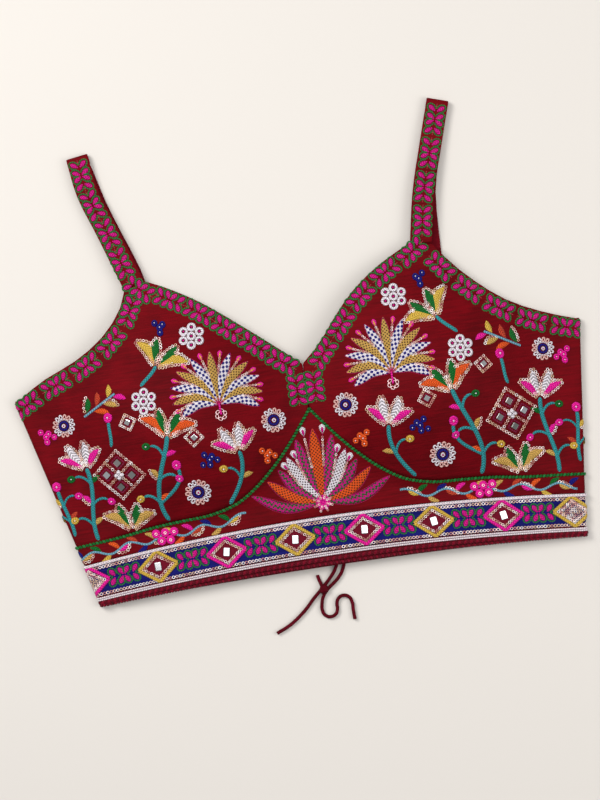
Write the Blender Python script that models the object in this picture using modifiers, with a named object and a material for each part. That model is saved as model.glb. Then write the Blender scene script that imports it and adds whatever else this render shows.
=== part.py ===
"""A choli blouse lying face up on a flat surface.

Two padded front cups with their side pieces, a midriff piece that peaks between them, an
embroidered waistband and a corded hem wrap round both side folds to seams on the underside.
Two plain back pieces lie beneath them and leave a gap at the centre back, closed by two
dori strings that run out under the hem to a knot with four free ends. Straps fold over at
the shoulder. Lengths are in millimetres here, and each mesh is made in metres.

Plan directions: across runs from the centre front outwards, up runs from the hem to the
straps, and height is above the surface that the blouse lies on.
"""

import math
from collections import namedtuple

import bmesh
import bpy
from mathutils import Vector

MM = 0.001
SIGN = {"left": -1.0, "right": 1.0}

# Cloth thicknesses, seam gaps and folds.
FRONT_CLOTH = 2.2
HEM_CLOTH = 2.4
BACK_CLOTH = 1.5
STRAP_CLOTH = 1.8
SEAM_GAP = 0.4
SLANTED_SEAM_GAP = 0.6
SIDE_FOLD_RADIUS = 3.2
UNDERSIDE_RUN = 9.0

# The plan's outline. Each side edge is a straight line from the hem corner to the underarm.
SideEdge = namedtuple("SideEdge", "hem_across underarm_across lean")
UNDERARM_UP = 172.0
SIDE_EDGE = {
    "left": SideEdge(hem_across=187.0, underarm_across=232.0, lean=45.0 / UNDERARM_UP),
    "right": SideEdge(hem_across=204.0, underarm_across=224.5, lean=20.5 / UNDERARM_UP),
}
Station = namedtuple("Station", "across up")
NECK_POINT = Station(0.0, 168.4)
MIDRIFF_PEAK = Station(0.0, 133.0)
NECKLINE = {
    "left": (
        NECK_POINT,
        Station(21.5, 187.0),
        Station(43.0, 205.0),
        Station(72.0, 228.0),
        Station(98.0, 244.0),
    ),
    "right": (
        NECK_POINT,
        Station(15.5, 182.5),
        Station(29.0, 199.5),
        Station(48.0, 220.0),
        Station(72.0, 237.5),
    ),
}
ARMHOLE = {
    "left": (
        Station(208.0, 184.8),
        Station(176.0, 198.5),
        Station(153.0, 214.0),
        Station(138.0, 232.0),
    ),
    "right": (
        Station(196.0, 181.0),
        Station(166.0, 196.0),
        Station(141.0, 217.0),
        Station(126.0, 234.0),
    ),
}
UNDER_BUST = (
    MIDRIFF_PEAK,
    Station(20.0, 107.5),
    Station(37.0, 89.5),
    Station(53.0, 76.0),
    Station(69.0, 66.5),
    Station(90.0, 61.0),
    Station(113.0, 59.5),
    Station(137.0, 57.5),
    Station(162.0, 54.0),
    Station(184.0, 50.8),
    Station(208.0, 48.0),
    Station(250.0, 44.0),
)
# Lines that bow up at the centre front: height at the centre, and the drop at the half width.
Bow = namedtuple("Bow", "centre_up drop")
HALF_HEM = 205.0
BAND_TOP = Bow(45.8, 12.5)
BAND_FOOT = Bow(18.0, 11.0)
HEM_EDGE = Bow(5.8, 5.0)
BACK_HEM = Bow(7.8, 5.0)

# The front's form: each cup is a dome round its bust point, wider above it than below.
Cup = namedtuple("Cup", "across up crown inward outward upward downward")
CUP = Cup(across=98.0, up=138.0, crown=39.0, inward=94.0, outward=106.0, upward=114.0, downward=84.0)
CUP_FLANK = {"soft": 1.9, "firm": 1.35}
LAYERS_HEIGHT = 2.0 * SIDE_FOLD_RADIUS
FRONT_LIFT = 2.4
SIDE_BLEND = 60.0
BRIDGE = {"height": 5.0, "half_width": 58.0, "from_up": 35.0, "to_up": 130.0}

# Soft troughs and ridges: ends, depth (a ridge is negative) and half width of each fold.
Fold = namedtuple("Fold", "side from_across from_up to_across to_up depth half_width")
FOLDS = (
    Fold("left", 139.0, 196.0, 108.0, 160.0, 2.4, 11.0),
    Fold("left", 82.0, 140.0, 86.0, 66.0, 1.6, 10.0),
    Fold("left", 168.0, 168.0, 158.0, 92.0, 1.8, 12.0),
    Fold("left", 186.0, 176.0, 196.0, 120.0, -1.4, 12.0),
    Fold("right", 101.0, 140.0, 94.0, 66.0, 1.6, 10.0),
    Fold("right", 176.0, 176.0, 170.0, 84.0, 1.6, 12.0),
    Fold("right", 150.0, 196.0, 132.0, 172.0, 1.3, 11.0),
    Fold("right", 196.0, 150.0, 188.0, 70.0, -1.2, 11.0),
)

# Straps: centre lines in plan. The front strap folds over at its top and the back one returns.
STRAP_WIDTH = 17.5
STRAP_FOLD_RADIUS = 2.75
STRAP_UNDERSIDE = 6.0
STRAP_BASE_HEIGHT = LAYERS_HEIGHT + FRONT_LIFT
StrapLine = namedtuple("StrapLine", "base lower upper top")
FRONT_STRAP = {
    "left": StrapLine(
        Station(123.5, 249.5), Station(139.0, 297.0), Station(149.5, 328.0), Station(154.0, 358.6)
    ),
    "right": StrapLine(
        Station(107.5, 249.5), Station(115.5, 289.0), Station(127.0, 327.0), Station(138.0, 361.4)
    ),
}
BACK_STRAP = {
    "left": (
        Station(145.0, 318.0),
        Station(135.0, 288.0),
        Station(124.0, 255.0),
        Station(118.0, 214.0),
        Station(116.0, 165.0),
    ),
    "right": (
        Station(125.4, 321.0),
        Station(120.2, 305.0),
        Station(116.4, 285.0),
        Station(114.6, 250.0),
        Station(113.6, 205.0),
        Station(113.0, 160.0),
    ),
}

# Back pieces: half the gap at the centre back, and their scooped top edge.
BACK_HALF_GAP = 15.0
BACK_TOP = (
    Station(BACK_HALF_GAP, 86.0),
    Station(40.0, 91.0),
    Station(70.0, 106.0),
    Station(100.0, 126.0),
    Station(130.0, 143.0),
    Station(165.0, 157.0),
    Station(200.0, 165.0),
    Station(226.0, 168.0),
)

# Dori strings: routes of their centre lines on the surface, from the back pieces to the knot
# and from the knot to their free ends.
CORD_DIAMETER = 2.8
CORD_HEIGHT = CORD_DIAMETER / 2.0 + 0.1
KNOT_SIZE = (8.4, 7.6, 5.6)
KNOT_PLACE = (-9.6, -11.4)
Route = namedtuple("Route", "name across_up")
CORD_ROUTES = (
    Route("dori_string_left", (
        (-14.6, 79.0), (-9.0, 78.4), (-4.0, 75.0), (-1.2, 68.0), (0.4, 57.0), (2.0, 45.0),
        (3.6, 33.0), (4.8, 21.0), (4.6, 11.0), (1.4, 3.0), (-3.4, -3.0), (-6.9, -6.6),
    )),
    Route("dori_string_right", (
        (14.6, 77.0), (9.6, 76.0), (6.2, 71.6), (5.6, 63.0), (6.6, 51.0), (8.2, 38.0),
        (9.8, 25.0), (10.2, 12.0), (7.6, 2.4), (2.6, -4.4), (-2.0, -8.2), (-3.8, -9.6),
    )),
    Route("dori_end_long", (
        (-14.6, -13.8), (-19.0, -17.8), (-25.0, -24.0), (-32.6, -30.4), (-41.0, -36.0), (-51.8, -40.8),
    )),
    Route("dori_end_curled", (
        (-10.9, -17.0), (-12.8, -22.4), (-13.3, -27.8), (-11.5, -32.1), (-7.2, -33.9), (-2.9, -32.1),
        (-1.1, -27.8), (-1.1, -24.6), (0.7, -20.3), (5.0, -18.5), (9.3, -20.3), (11.1, -24.6), (11.2, -31.4),
        (11.4, -38.6),
    )),
    Route("dori_end_short", (
        (-11.4, -6.6), (-12.2, -4.4), (-12.8, -2.0), (-13.2, 0.6),
    )),
)

# Mesh stations: columns from the centre to the fold, round it and along the underside, and
# the rows of each piece.
BODY_COLUMNS = 18
FOLD_COLUMNS = 7
UNDERSIDE_COLUMNS = 2
LAST_COLUMN = BODY_COLUMNS + FOLD_COLUMNS + UNDERSIDE_COLUMNS
CUP_LOWER_ROWS = 8
CUP_UPPER_ROWS = 9
MIDRIFF_ROWS = 5
BAND_ROWS = 2
HEM_ROWS = 2
BACK_COLUMNS = 12
BACK_ROWS = 4
STRAP_COLUMNS = 2
STRAP_ROWS = 12
ARC_STEPS = 6
CORD_SPACING = 3.0

# The middle of the blouse's plan without its strings, which the origin lies under.
PLAN_CENTRE = ((224.5 - 232.0) / 2.0, 182.06)


def clear_scene():
    for obj in list(bpy.data.objects):
        bpy.data.objects.remove(obj, do_unlink=True)


def smoothstep(share):
    share = min(1.0, max(0.0, share))
    return share * share * (3.0 - 2.0 * share)


def mix(first, second, share):
    return first + (second - first) * share


def spline_point(points, share):
    """A point at this share of the way along a Catmull-Rom curve through the points."""
    spans = len(points) - 1
    place = min(share, 0.999999) * spans
    first = int(place)
    t = place - first
    p1, p2 = Vector(points[first]), Vector(points[first + 1])
    p0 = Vector(points[first - 1]) if first > 0 else p1 * 2.0 - p2
    p3 = Vector(points[first + 2]) if first + 2 <= spans else p2 * 2.0 - p1
    slope_in, slope_out = (p2 - p0) * 0.5, (p3 - p1) * 0.5
    return (
        p1 * (2 * t**3 - 3 * t**2 + 1)
        + slope_in * (t**3 - 2 * t**2 + t)
        + p2 * (-2 * t**3 + 3 * t**2)
        + slope_out * (t**3 - t**2)
    )


def even_points(points, count):
    """Points an equal length apart on the curve through the points, both ends included."""
    fine = [spline_point(points, i / 400.0) for i in range(401)]
    lengths = [0.0]
    for before, after in zip(fine, fine[1:]):
        lengths.append(lengths[-1] + (after - before).length)
    found, at = [], 0
    for i in range(count):
        wanted = lengths[-1] * i / (count - 1)
        while at < 399 and lengths[at + 1] < wanted:
            at += 1
        share = (wanted - lengths[at]) / (lengths[at + 1] - lengths[at])
        found.append(fine[at].lerp(fine[at + 1], share))
    return found


def height_on(curve, across):
    """The up value of a curve given as stations, at this distance across."""
    for i, (before, after) in enumerate(zip(curve, curve[1:])):
        if across <= after.across or i == len(curve) - 2:
            share = (across - before.across) / (after.across - before.across)
            return spline_point(curve, (i + max(0.0, share)) / (len(curve) - 1))[1]


def bowed(bow, across):
    return bow.centre_up - bow.drop * (across / HALF_HEM) ** 2


def edge_across(side, up):
    """How far the side fold's outermost line is from the centre front."""
    edge = SIDE_EDGE[side]
    return edge.hem_across + edge.lean * up


def fold_depth(x, y):
    """How far the folds press the cloth down at a point of the plan."""
    depth = 0.0
    for fold in FOLDS:
        start = Vector((SIGN[fold.side] * fold.from_across, fold.from_up))
        end = Vector((SIGN[fold.side] * fold.to_across, fold.to_up))
        along = (Vector((x, y)) - start).dot(end - start) / (end - start).length_squared
        nearest = start.lerp(end, min(1.0, max(0.0, along)))
        away = (Vector((x, y)) - nearest).length / fold.half_width
        depth += fold.depth * math.exp(-away * away)
    return depth


def cup_height(side, x, y):
    """The height that one padded cup adds."""
    outward = x * SIGN[side] - CUP.across
    upward = y - CUP.up
    a = outward / (CUP.outward if outward > 0.0 else CUP.inward)
    b = upward / (CUP.upward if upward > 0.0 else CUP.downward)
    reach = a * a + b * b
    if reach >= 1.0:
        return 0.0
    below = 0.5 - 0.5 * b / math.sqrt(reach + 1e-6)
    flank = mix(CUP_FLANK["soft"], CUP_FLANK["firm"], smoothstep(below))
    return CUP.crown * (1.0 - reach) ** flank


def front_height(x, y):
    """The height of the front's outer face, away from the side folds."""
    side = "left" if x < 0.0 else "right"
    inset = edge_across(side, y) - SIDE_FOLD_RADIUS - abs(x)
    blend = smoothstep(inset / SIDE_BLEND)
    bridge = smoothstep((y - BRIDGE["from_up"]) / (BRIDGE["to_up"] - BRIDGE["from_up"]))
    bridge *= BRIDGE["height"] * math.exp(-((x / BRIDGE["half_width"]) ** 2))
    lift = FRONT_LIFT + bridge + cup_height("left", x, y) + cup_height("right", x, y)
    return LAYERS_HEIGHT + blend * (lift - fold_depth(x, y))


def drape(x, y):
    """A point of the front's outer face, from its place in the unwrapped plan.

    Past the side fold the cloth turns round it and runs back along the underside.
    """
    sign = -1.0 if x < 0.0 else 1.0
    side = "left" if x < 0.0 else "right"
    centre = edge_across(side, y) - SIDE_FOLD_RADIUS
    past = abs(x) - centre
    if past <= 0.0:
        return (x, y, front_height(x, y))
    turn = past / SIDE_FOLD_RADIUS
    if turn <= math.pi:
        return (
            sign * (centre + SIDE_FOLD_RADIUS * math.sin(turn)),
            y,
            SIDE_FOLD_RADIUS * (1.0 + math.cos(turn)),
        )
    return (sign * (centre - (past - math.pi * SIDE_FOLD_RADIUS)), y, 0.0)


def column_across(side, column, up):
    """How far across the unwrapped plan a column lies, at this height on the side fold."""
    centre = edge_across(side, up) - SIDE_FOLD_RADIUS
    if column <= BODY_COLUMNS:
        return centre * column / BODY_COLUMNS
    turned = min(1.0, (column - BODY_COLUMNS) / FOLD_COLUMNS)
    run = max(0, column - BODY_COLUMNS - FOLD_COLUMNS) / UNDERSIDE_COLUMNS
    return centre + math.pi * SIDE_FOLD_RADIUS * turned + UNDERSIDE_RUN * run


def across_line(side, column, line):
    """The plan point at a column of a line that runs from the centre to the side seam."""
    up = line(0.0)
    for _ in range(4):
        across = column_across(side, column, up)
        up = line(across)
    return (SIGN[side] * across, up)


def new_collection(name):
    collection = bpy.data.collections.new(name)
    bpy.context.scene.collection.children.link(collection)
    return collection


def make_material(name, colour, roughness, sheen=0.0):
    material = bpy.data.materials.new(name)
    material.use_nodes = True
    surface = material.node_tree.nodes["Principled BSDF"]
    surface.inputs["Base Color"].default_value = (*colour, 1.0)
    surface.inputs["Roughness"].default_value = roughness
    surface.inputs["Metallic"].default_value = 0.0
    surface.inputs["Sheen Weight"].default_value = sheen
    return material


def placed(point):
    """A plan point and height in millimetres, as a place in the model's frame in metres."""
    return Vector((point[0] - PLAN_CENTRE[0], point[1] - PLAN_CENTRE[1], point[2])) * MM


def trim(mesh, outside):
    """Removes the vertices of a grid that lie outside the piece's outline."""
    shape = bmesh.new()
    shape.from_mesh(mesh)
    shape.verts.ensure_lookup_table()
    bmesh.ops.delete(shape, geom=[shape.verts[number] for number in outside], context="VERTS")
    shape.to_mesh(mesh)
    shape.free()


def cloth_wall(name, grid, thickness, material, collection):
    """One piece of cloth: a grid of points, row by row, thickened behind its outer face.

    A place in the grid that holds None is outside the piece.
    """
    rows, columns = len(grid), len(grid[0])
    bpy.ops.mesh.primitive_grid_add(x_subdivisions=columns - 1, y_subdivisions=rows - 1, size=1.0)
    obj = bpy.context.object
    outside = []
    for number, vertex in enumerate(obj.data.vertices):
        point = grid[number // columns][number % columns]
        if point is None:
            outside.append(number)
        else:
            vertex.co = placed(point)
    trim(obj.data, outside)
    obj.name = obj.data.name = name
    shell = obj.modifiers.new("cloth_thickness", "SOLIDIFY")
    shell.thickness = thickness * MM
    shell.offset = -1.0
    shell.use_even_offset = True
    obj.data.materials.append(material)
    obj.data.shade_smooth()
    for other in obj.users_collection:
        other.objects.unlink(obj)
    collection.objects.link(obj)
    return obj


def facing_up(grid, side):
    """Rows run up the blouse; columns run from the left of the plan to its right."""
    return [list(reversed(row)) for row in grid] if side == "left" else grid


def strap_ahead(side):
    """The direction in which a front strap leaves its cup, in outward and up."""
    strap = FRONT_STRAP[side]
    return (Vector(strap.lower) - Vector(strap.base)).normalized()


def strap_corner(side, inner):
    """The inner or outer corner where the cup meets its strap."""
    ahead = strap_ahead(side)
    offset = -STRAP_WIDTH / 2.0 if inner else STRAP_WIDTH / 2.0
    base = FRONT_STRAP[side].base
    return Station(base.across + offset * ahead.y, base.up - offset * ahead.x)


def cup_grid(side):
    """Rows of one cup and side piece, from the under-bust seam to the strap.

    The lower rows wrap round the side fold to the side seam. The upper ones stop at the armhole.
    """
    half_seam = SEAM_GAP / 2.0
    underarm_across = column_across(side, BODY_COLUMNS, UNDERARM_UP)

    def foot(across):
        return height_on(UNDER_BUST, across) + SLANTED_SEAM_GAP / 2.0

    def underarm(across):
        return mix(NECK_POINT.up, UNDERARM_UP, across / underarm_across)

    def outer_face(x, up):
        return drape(SIGN[side] * max(half_seam, abs(x)), up)

    rows = []
    for i in range(CUP_LOWER_ROWS + 1):
        share = i / CUP_LOWER_ROWS

        def line(across, share=share):
            return mix(foot(across), underarm(across), share)

        rows.append([outer_face(*across_line(side, c, line)) for c in range(LAST_COLUMN + 1)])
    neck = even_points((*NECKLINE[side], strap_corner(side, True)), CUP_UPPER_ROWS + 1)
    underarm_point = Station(underarm_across, UNDERARM_UP)
    arm = even_points((underarm_point, *ARMHOLE[side], strap_corner(side, False)), CUP_UPPER_ROWS + 1)
    for inner, outer in zip(neck[1:], arm[1:]):
        points = [inner.lerp(outer, c / BODY_COLUMNS) for c in range(BODY_COLUMNS + 1)]
        row = [outer_face(point.x, point.y) for point in points]
        rows.append(row + [None] * (LAST_COLUMN - BODY_COLUMNS))
    return facing_up(rows, side)


def full_width_grid(row_count, top_line, foot_line):
    """Rows of a piece that runs from one side seam to the other, foot first."""
    rows = []
    for i in range(row_count + 1):
        share = i / row_count

        def line(across, share=share):
            return mix(foot_line(across), top_line(across), share)

        left = [drape(*across_line("left", c, line)) for c in range(LAST_COLUMN, -1, -1)]
        right = [drape(*across_line("right", c, line)) for c in range(1, LAST_COLUMN + 1)]
        rows.append(left + right)
    return rows


def ribbon_rows(side, line, half_width):
    """Rows across a strap: each station of its centre line is (across, up, height)."""
    rows = []
    for i, point in enumerate(line):
        before, after = line[max(0, i - 1)], line[min(len(line) - 1, i + 1)]
        ahead = Vector((after[0] - before[0], after[1] - before[1]))
        if ahead.length < 1e-6:
            ahead = Vector((0.0, 1.0))
        rows.append(strap_row(side, point, ahead.normalized(), half_width))
    return rows


def strap_row(side, point, ahead, half_width):
    """One row square to the strap's direction, from the left of the plan to the right."""
    row = []
    for i in range(STRAP_COLUMNS + 1):
        offset = mix(-half_width, half_width, i / STRAP_COLUMNS)
        x = SIGN[side] * point[0] + offset * ahead.y
        y = point[1] - offset * SIGN[side] * ahead.x
        row.append((x, y, point[2]))
    return row


def front_strap_grid(side):
    """The strap from the cup to the shoulder fold, round it and a little way back."""
    strap = FRONT_STRAP[side]
    ahead = (Vector(strap.top) - Vector(strap.upper)).normalized()
    turn_at = Vector(strap.top) - ahead * STRAP_FOLD_RADIUS
    plan = even_points((strap.base, strap.lower, strap.upper, tuple(turn_at)), STRAP_ROWS + 1)
    plan[0] = plan[0] + strap_ahead(side) * SEAM_GAP
    line = []
    for i, point in enumerate(plan):
        share = smoothstep(i / STRAP_ROWS)
        line.append((point.x, point.y, mix(STRAP_BASE_HEIGHT, 2.0 * STRAP_FOLD_RADIUS, share)))
    rows = ribbon_rows(side, line, STRAP_WIDTH / 2.0)
    rows[0] = strap_row(side, line[0], strap_ahead(side), STRAP_WIDTH / 2.0)
    for i in range(1, ARC_STEPS + 1):
        turn = math.pi * i / ARC_STEPS
        place = turn_at + ahead * STRAP_FOLD_RADIUS * math.sin(turn)
        height = STRAP_FOLD_RADIUS * (1.0 + math.cos(turn))
        rows.append(strap_row(side, (place.x, place.y, height), ahead, STRAP_WIDTH / 2.0))
    last = turn_at - ahead * STRAP_UNDERSIDE
    rows.append(strap_row(side, (last.x, last.y, 0.0), ahead, STRAP_WIDTH / 2.0))
    return rows


def back_strap_grid(side):
    """The strap's return along the surface, from its seam below the fold to the back piece."""
    strap = FRONT_STRAP[side]
    ahead = (Vector(strap.top) - Vector(strap.upper)).normalized()
    start = Vector(strap.top) - ahead * (STRAP_FOLD_RADIUS + STRAP_UNDERSIDE + SEAM_GAP)
    plan = even_points((tuple(start), *BACK_STRAP[side]), STRAP_ROWS + 1)
    line = [(point.x, point.y, 0.0) for point in reversed(plan)]
    rows = ribbon_rows(side, line, STRAP_WIDTH / 2.0)
    rows[-1] = strap_row(side, line[-1], ahead, STRAP_WIDTH / 2.0)
    foot = []
    for x, _, height in rows[0]:
        foot.append((x, height_on(BACK_TOP, abs(x)) + SLANTED_SEAM_GAP, height))
    rows[0] = foot
    return rows


def back_grid(side):
    """One back piece, flat on the surface, from the centre back to the side seam."""
    seam_inset = SIDE_FOLD_RADIUS + UNDERSIDE_RUN + SEAM_GAP
    rows = []
    for i in range(BACK_ROWS + 1):
        row = []
        for j in range(BACK_COLUMNS + 1):
            share, up = j / BACK_COLUMNS, 80.0
            for _ in range(4):
                across = mix(BACK_HALF_GAP, edge_across(side, up) - seam_inset, share)
                up = mix(bowed(BACK_HEM, across), height_on(BACK_TOP, across), i / BACK_ROWS)
            row.append((SIGN[side] * across, up, 0.0))
        rows.append(row)
    return facing_up(rows, side)


def turned_over(grid):
    """The same rows with their face turned down, for cloth that thickens upwards."""
    return [list(reversed(row)) for row in grid]


def cord_tube(route, material, collection):
    """One stretch of dori string, as a round tube along a smooth line on the surface."""
    length = sum(math.dist(a, b) for a, b in zip(route.across_up, route.across_up[1:]))
    points = even_points(route.across_up, max(4, round(length / CORD_SPACING)))
    data = bpy.data.curves.new(route.name, "CURVE")
    data.dimensions = "3D"
    data.bevel_depth = CORD_DIAMETER / 2.0 * MM
    data.bevel_resolution = 2
    data.use_fill_caps = True
    spline = data.splines.new("POLY")
    spline.points.add(len(points) - 1)
    for target, point in zip(spline.points, points):
        target.co = (*placed((point.x, point.y, CORD_HEIGHT)), 1.0)
    data.materials.append(material)
    obj = bpy.data.objects.new(route.name, data)
    collection.objects.link(obj)
    return obj


def knot(material, collection):
    """The knot that ties both strings: a rounded lump resting on the surface."""
    bpy.ops.mesh.primitive_uv_sphere_add(segments=16, ring_count=8, radius=0.5)
    obj = bpy.context.object
    obj.name = obj.data.name = "dori_knot"
    centre = placed((*KNOT_PLACE, KNOT_SIZE[2] / 2.0 + 0.1))
    for vertex in obj.data.vertices:
        scaled = Vector(component * size for component, size in zip(vertex.co, KNOT_SIZE))
        vertex.co = centre + scaled * MM
    obj.data.materials.append(material)
    obj.data.shade_smooth()
    for other in obj.users_collection:
        other.objects.unlink(obj)
    collection.objects.link(obj)
    return obj


def main():
    clear_scene()
    blouse = new_collection("choli_blouse")
    crimson = make_material("crimson_cloth", (0.19, 0.002, 0.008), 0.75, 0.3)
    plain = make_material("plain_cloth", (0.15, 0.003, 0.008), 0.8)
    band = make_material("band_cloth", (0.02, 0.02, 0.14), 0.8)
    piping = make_material("hem_cord", (0.16, 0.003, 0.012), 0.7)
    string = make_material("dori_cloth", (0.14, 0.003, 0.01), 0.7)

    def under_bust(across):
        return height_on(UNDER_BUST, across) - SLANTED_SEAM_GAP / 2.0

    def midriff_foot(across):
        return bowed(BAND_TOP, across) + SEAM_GAP / 2.0

    def band_top(across):
        return bowed(BAND_TOP, across) - SEAM_GAP / 2.0

    def band_foot(across):
        return bowed(BAND_FOOT, across) + SEAM_GAP / 2.0

    def hem_top(across):
        return bowed(BAND_FOOT, across) - SEAM_GAP / 2.0

    def hem_edge(across):
        return bowed(HEM_EDGE, across)

    for side in SIGN:
        cloth_wall(f"cup_{side}", cup_grid(side), FRONT_CLOTH, crimson, blouse)
        cloth_wall(f"strap_front_{side}", front_strap_grid(side), STRAP_CLOTH, crimson, blouse)
        back_strap = turned_over(back_strap_grid(side))
        cloth_wall(f"strap_back_{side}", back_strap, BACK_CLOTH, plain, blouse)
        cloth_wall(f"back_{side}", turned_over(back_grid(side)), BACK_CLOTH, plain, blouse)
    midriff = full_width_grid(MIDRIFF_ROWS, under_bust, midriff_foot)
    cloth_wall("midriff", midriff, FRONT_CLOTH, crimson, blouse)
    waistband = full_width_grid(BAND_ROWS, band_top, band_foot)
    cloth_wall("waistband", waistband, FRONT_CLOTH, band, blouse)
    hem = full_width_grid(HEM_ROWS, hem_top, hem_edge)
    cloth_wall("hem_cord", hem, HEM_CLOTH, piping, blouse)
    for route in CORD_ROUTES:
        cord_tube(route, string, blouse)
    knot(string, blouse)


main()
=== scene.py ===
"""The looks of an embroidered choli blouse that lies face up on a pale surface.

Its pieces follow the garment as it is made: the crimson cups, midriff, straps and back, the
navy waistband and the corded hem, then the hand embroidery in thread, sequins and mirrors,
and last the strings that close the back. Plan sizes are in millimetres: across runs from the
centre front, up runs from the hem, and lift stands off the cloth.
"""

import math
import random

import bpy
import numpy as np
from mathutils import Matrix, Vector
from mathutils.bvhtree import BVHTree


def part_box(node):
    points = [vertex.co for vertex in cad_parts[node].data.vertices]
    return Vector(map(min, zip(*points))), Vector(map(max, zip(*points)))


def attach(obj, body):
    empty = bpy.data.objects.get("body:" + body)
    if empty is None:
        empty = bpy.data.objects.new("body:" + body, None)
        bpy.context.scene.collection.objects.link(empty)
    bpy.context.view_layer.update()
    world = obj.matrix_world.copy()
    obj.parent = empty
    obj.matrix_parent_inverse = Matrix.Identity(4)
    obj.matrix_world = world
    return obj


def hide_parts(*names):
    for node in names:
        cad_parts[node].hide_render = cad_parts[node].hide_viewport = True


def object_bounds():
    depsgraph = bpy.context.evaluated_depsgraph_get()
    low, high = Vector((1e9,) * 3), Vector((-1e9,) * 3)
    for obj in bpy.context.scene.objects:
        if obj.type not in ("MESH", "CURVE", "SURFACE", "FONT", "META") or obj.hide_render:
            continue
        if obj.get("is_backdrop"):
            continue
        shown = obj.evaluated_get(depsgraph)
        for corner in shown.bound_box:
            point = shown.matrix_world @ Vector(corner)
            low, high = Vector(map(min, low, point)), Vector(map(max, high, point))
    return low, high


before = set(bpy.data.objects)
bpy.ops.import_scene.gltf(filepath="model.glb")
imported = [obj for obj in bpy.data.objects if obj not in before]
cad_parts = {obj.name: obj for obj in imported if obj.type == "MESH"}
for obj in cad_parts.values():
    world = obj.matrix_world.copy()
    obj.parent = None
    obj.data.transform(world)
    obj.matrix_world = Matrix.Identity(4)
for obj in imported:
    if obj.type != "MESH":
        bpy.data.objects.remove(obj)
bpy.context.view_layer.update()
bpy.ops.object.select_all(action="DESELECT")

MM = 0.001
CENTRE_FRONT_X = (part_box("cup_left")[1].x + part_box("cup_right")[0].x) / 2.0
HEM_CORNER_UP = 1.0
PLAN_ZERO_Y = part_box("hem_cord")[0].y - HEM_CORNER_UP * MM


def in_frame(across, up, height):
    """A plan place and a height in millimetres, as a place in the frame in metres."""
    return across * MM + CENTRE_FRONT_X, up * MM + PLAN_ZERO_Y, height * MM


def new_finish(name, **settings):
    """A finish with its surface's inputs set, its node tree and its surface."""
    finish = bpy.data.materials.new(name)
    finish.use_nodes = True
    surface = finish.node_tree.nodes["Principled BSDF"]
    for key, value in settings.items():
        surface.inputs[key.replace("_", " ")].default_value = value
    return finish, finish.node_tree, surface


# --- Camera, floor and lights ---------------------------------------------------------------
# The blouse lies on a pale matt floor and is seen from straight above, turned a little, so
# that its right strap is the higher. Soft panels light it from above and from the sides.
VIEW_TURN = math.radians(-8.5)
VIEW_CENTRE = Vector((-0.00245, -0.04196))
VIEW_DISTANCE = 1.9
VIEW_HEIGHT = 0.640
SENSOR_HEIGHT = 36.0
FLOOR_SIZE = 6.0
FLOOR_DROP = 0.0006
FLOOR_COLOUR = (0.62, 0.58, 0.53, 1.0)
SoftPanels = (
    # name, place, size, power
    ("key_panel", (-0.9, 0.75, 1.35), 0.9, 26.0),
    ("fill_panel", (1.15, -0.35, 1.25), 1.2, 12.0),
    ("top_panel", (0.1, 0.2, 2.2), 1.6, 16.0),
)

camera_data = bpy.data.cameras.new("camera")
camera_data.sensor_fit = "VERTICAL"
camera_data.sensor_height = SENSOR_HEIGHT
camera_data.lens = SENSOR_HEIGHT * VIEW_DISTANCE / VIEW_HEIGHT
camera = bpy.data.objects.new("camera", camera_data)
camera.location = (VIEW_CENTRE.x, VIEW_CENTRE.y, VIEW_DISTANCE)
camera.rotation_euler = (0.0, 0.0, VIEW_TURN)
bpy.context.scene.collection.objects.link(camera)
bpy.context.scene.camera = camera

bpy.ops.mesh.primitive_plane_add(size=FLOOR_SIZE, location=(0.0, 0.0, -FLOOR_DROP))
floor = bpy.context.object
floor.name = "floor"
floor_finish, _, _ = new_finish(
    "matt_floor", Base_Color=FLOOR_COLOUR, Roughness=0.95, Specular_IOR_Level=0.1)
floor.data.materials.append(floor_finish)
floor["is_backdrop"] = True

for panel_name, place, size, power in SoftPanels:
    lamp_data = bpy.data.lights.new(panel_name, "AREA")
    lamp_data.shape = "DISK"
    lamp_data.size = size
    lamp_data.energy = power
    lamp = bpy.data.objects.new(panel_name, lamp_data)
    lamp.location = place
    lamp.rotation_euler = (-Vector(place)).to_track_quat("-Z", "Y").to_euler()
    bpy.context.scene.collection.objects.link(lamp)
sky = bpy.data.worlds.new("studio")
sky.use_nodes = True
backdrop = sky.node_tree.nodes["Background"]
backdrop.inputs["Color"].default_value = (0.9, 0.93, 1.0, 1.0)
backdrop.inputs["Strength"].default_value = 0.35
bpy.context.scene.world = sky
bpy.context.scene.view_settings.view_transform = "Standard"


# --- Cloth ----------------------------------------------------------------------------------
# Slub silk in deep crimson. Each piece is a thin shell on its sewn form, with rounded edges
# and the soft creases that the garment keeps from being folded and worn.
Creases = (
    # side, from across, from up, to across, to up, depth, half width
    (-1, 222, 168, 176, 120, 0.8, 6.0),
    (-1, 214, 120, 178, 74, -0.7, 7.0),
    (-1, 204, 96, 214, 58, 0.7, 5.0),
    (-1, 60, 182, 52, 128, 0.6, 7.0),
    (-1, 20, 70, 66, 50, 0.5, 6.0),
    (-1, 150, 50, 186, 36, -0.5, 5.0),
    (-1, 120, 24, 148, 14, 0.5, 6.0),
    (1, 212, 160, 184, 106, 0.8, 6.0),
    (1, 202, 118, 176, 66, -0.8, 7.0),
    (1, 56, 186, 44, 132, 0.7, 7.0),
    (1, 148, 74, 190, 60, 0.6, 6.0),
    (1, 26, 60, 70, 48, -0.4, 6.0),
    (1, 96, 30, 124, 18, 0.5, 7.0),
    (1, 176, 34, 196, 16, 0.5, 5.0),
)
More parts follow.
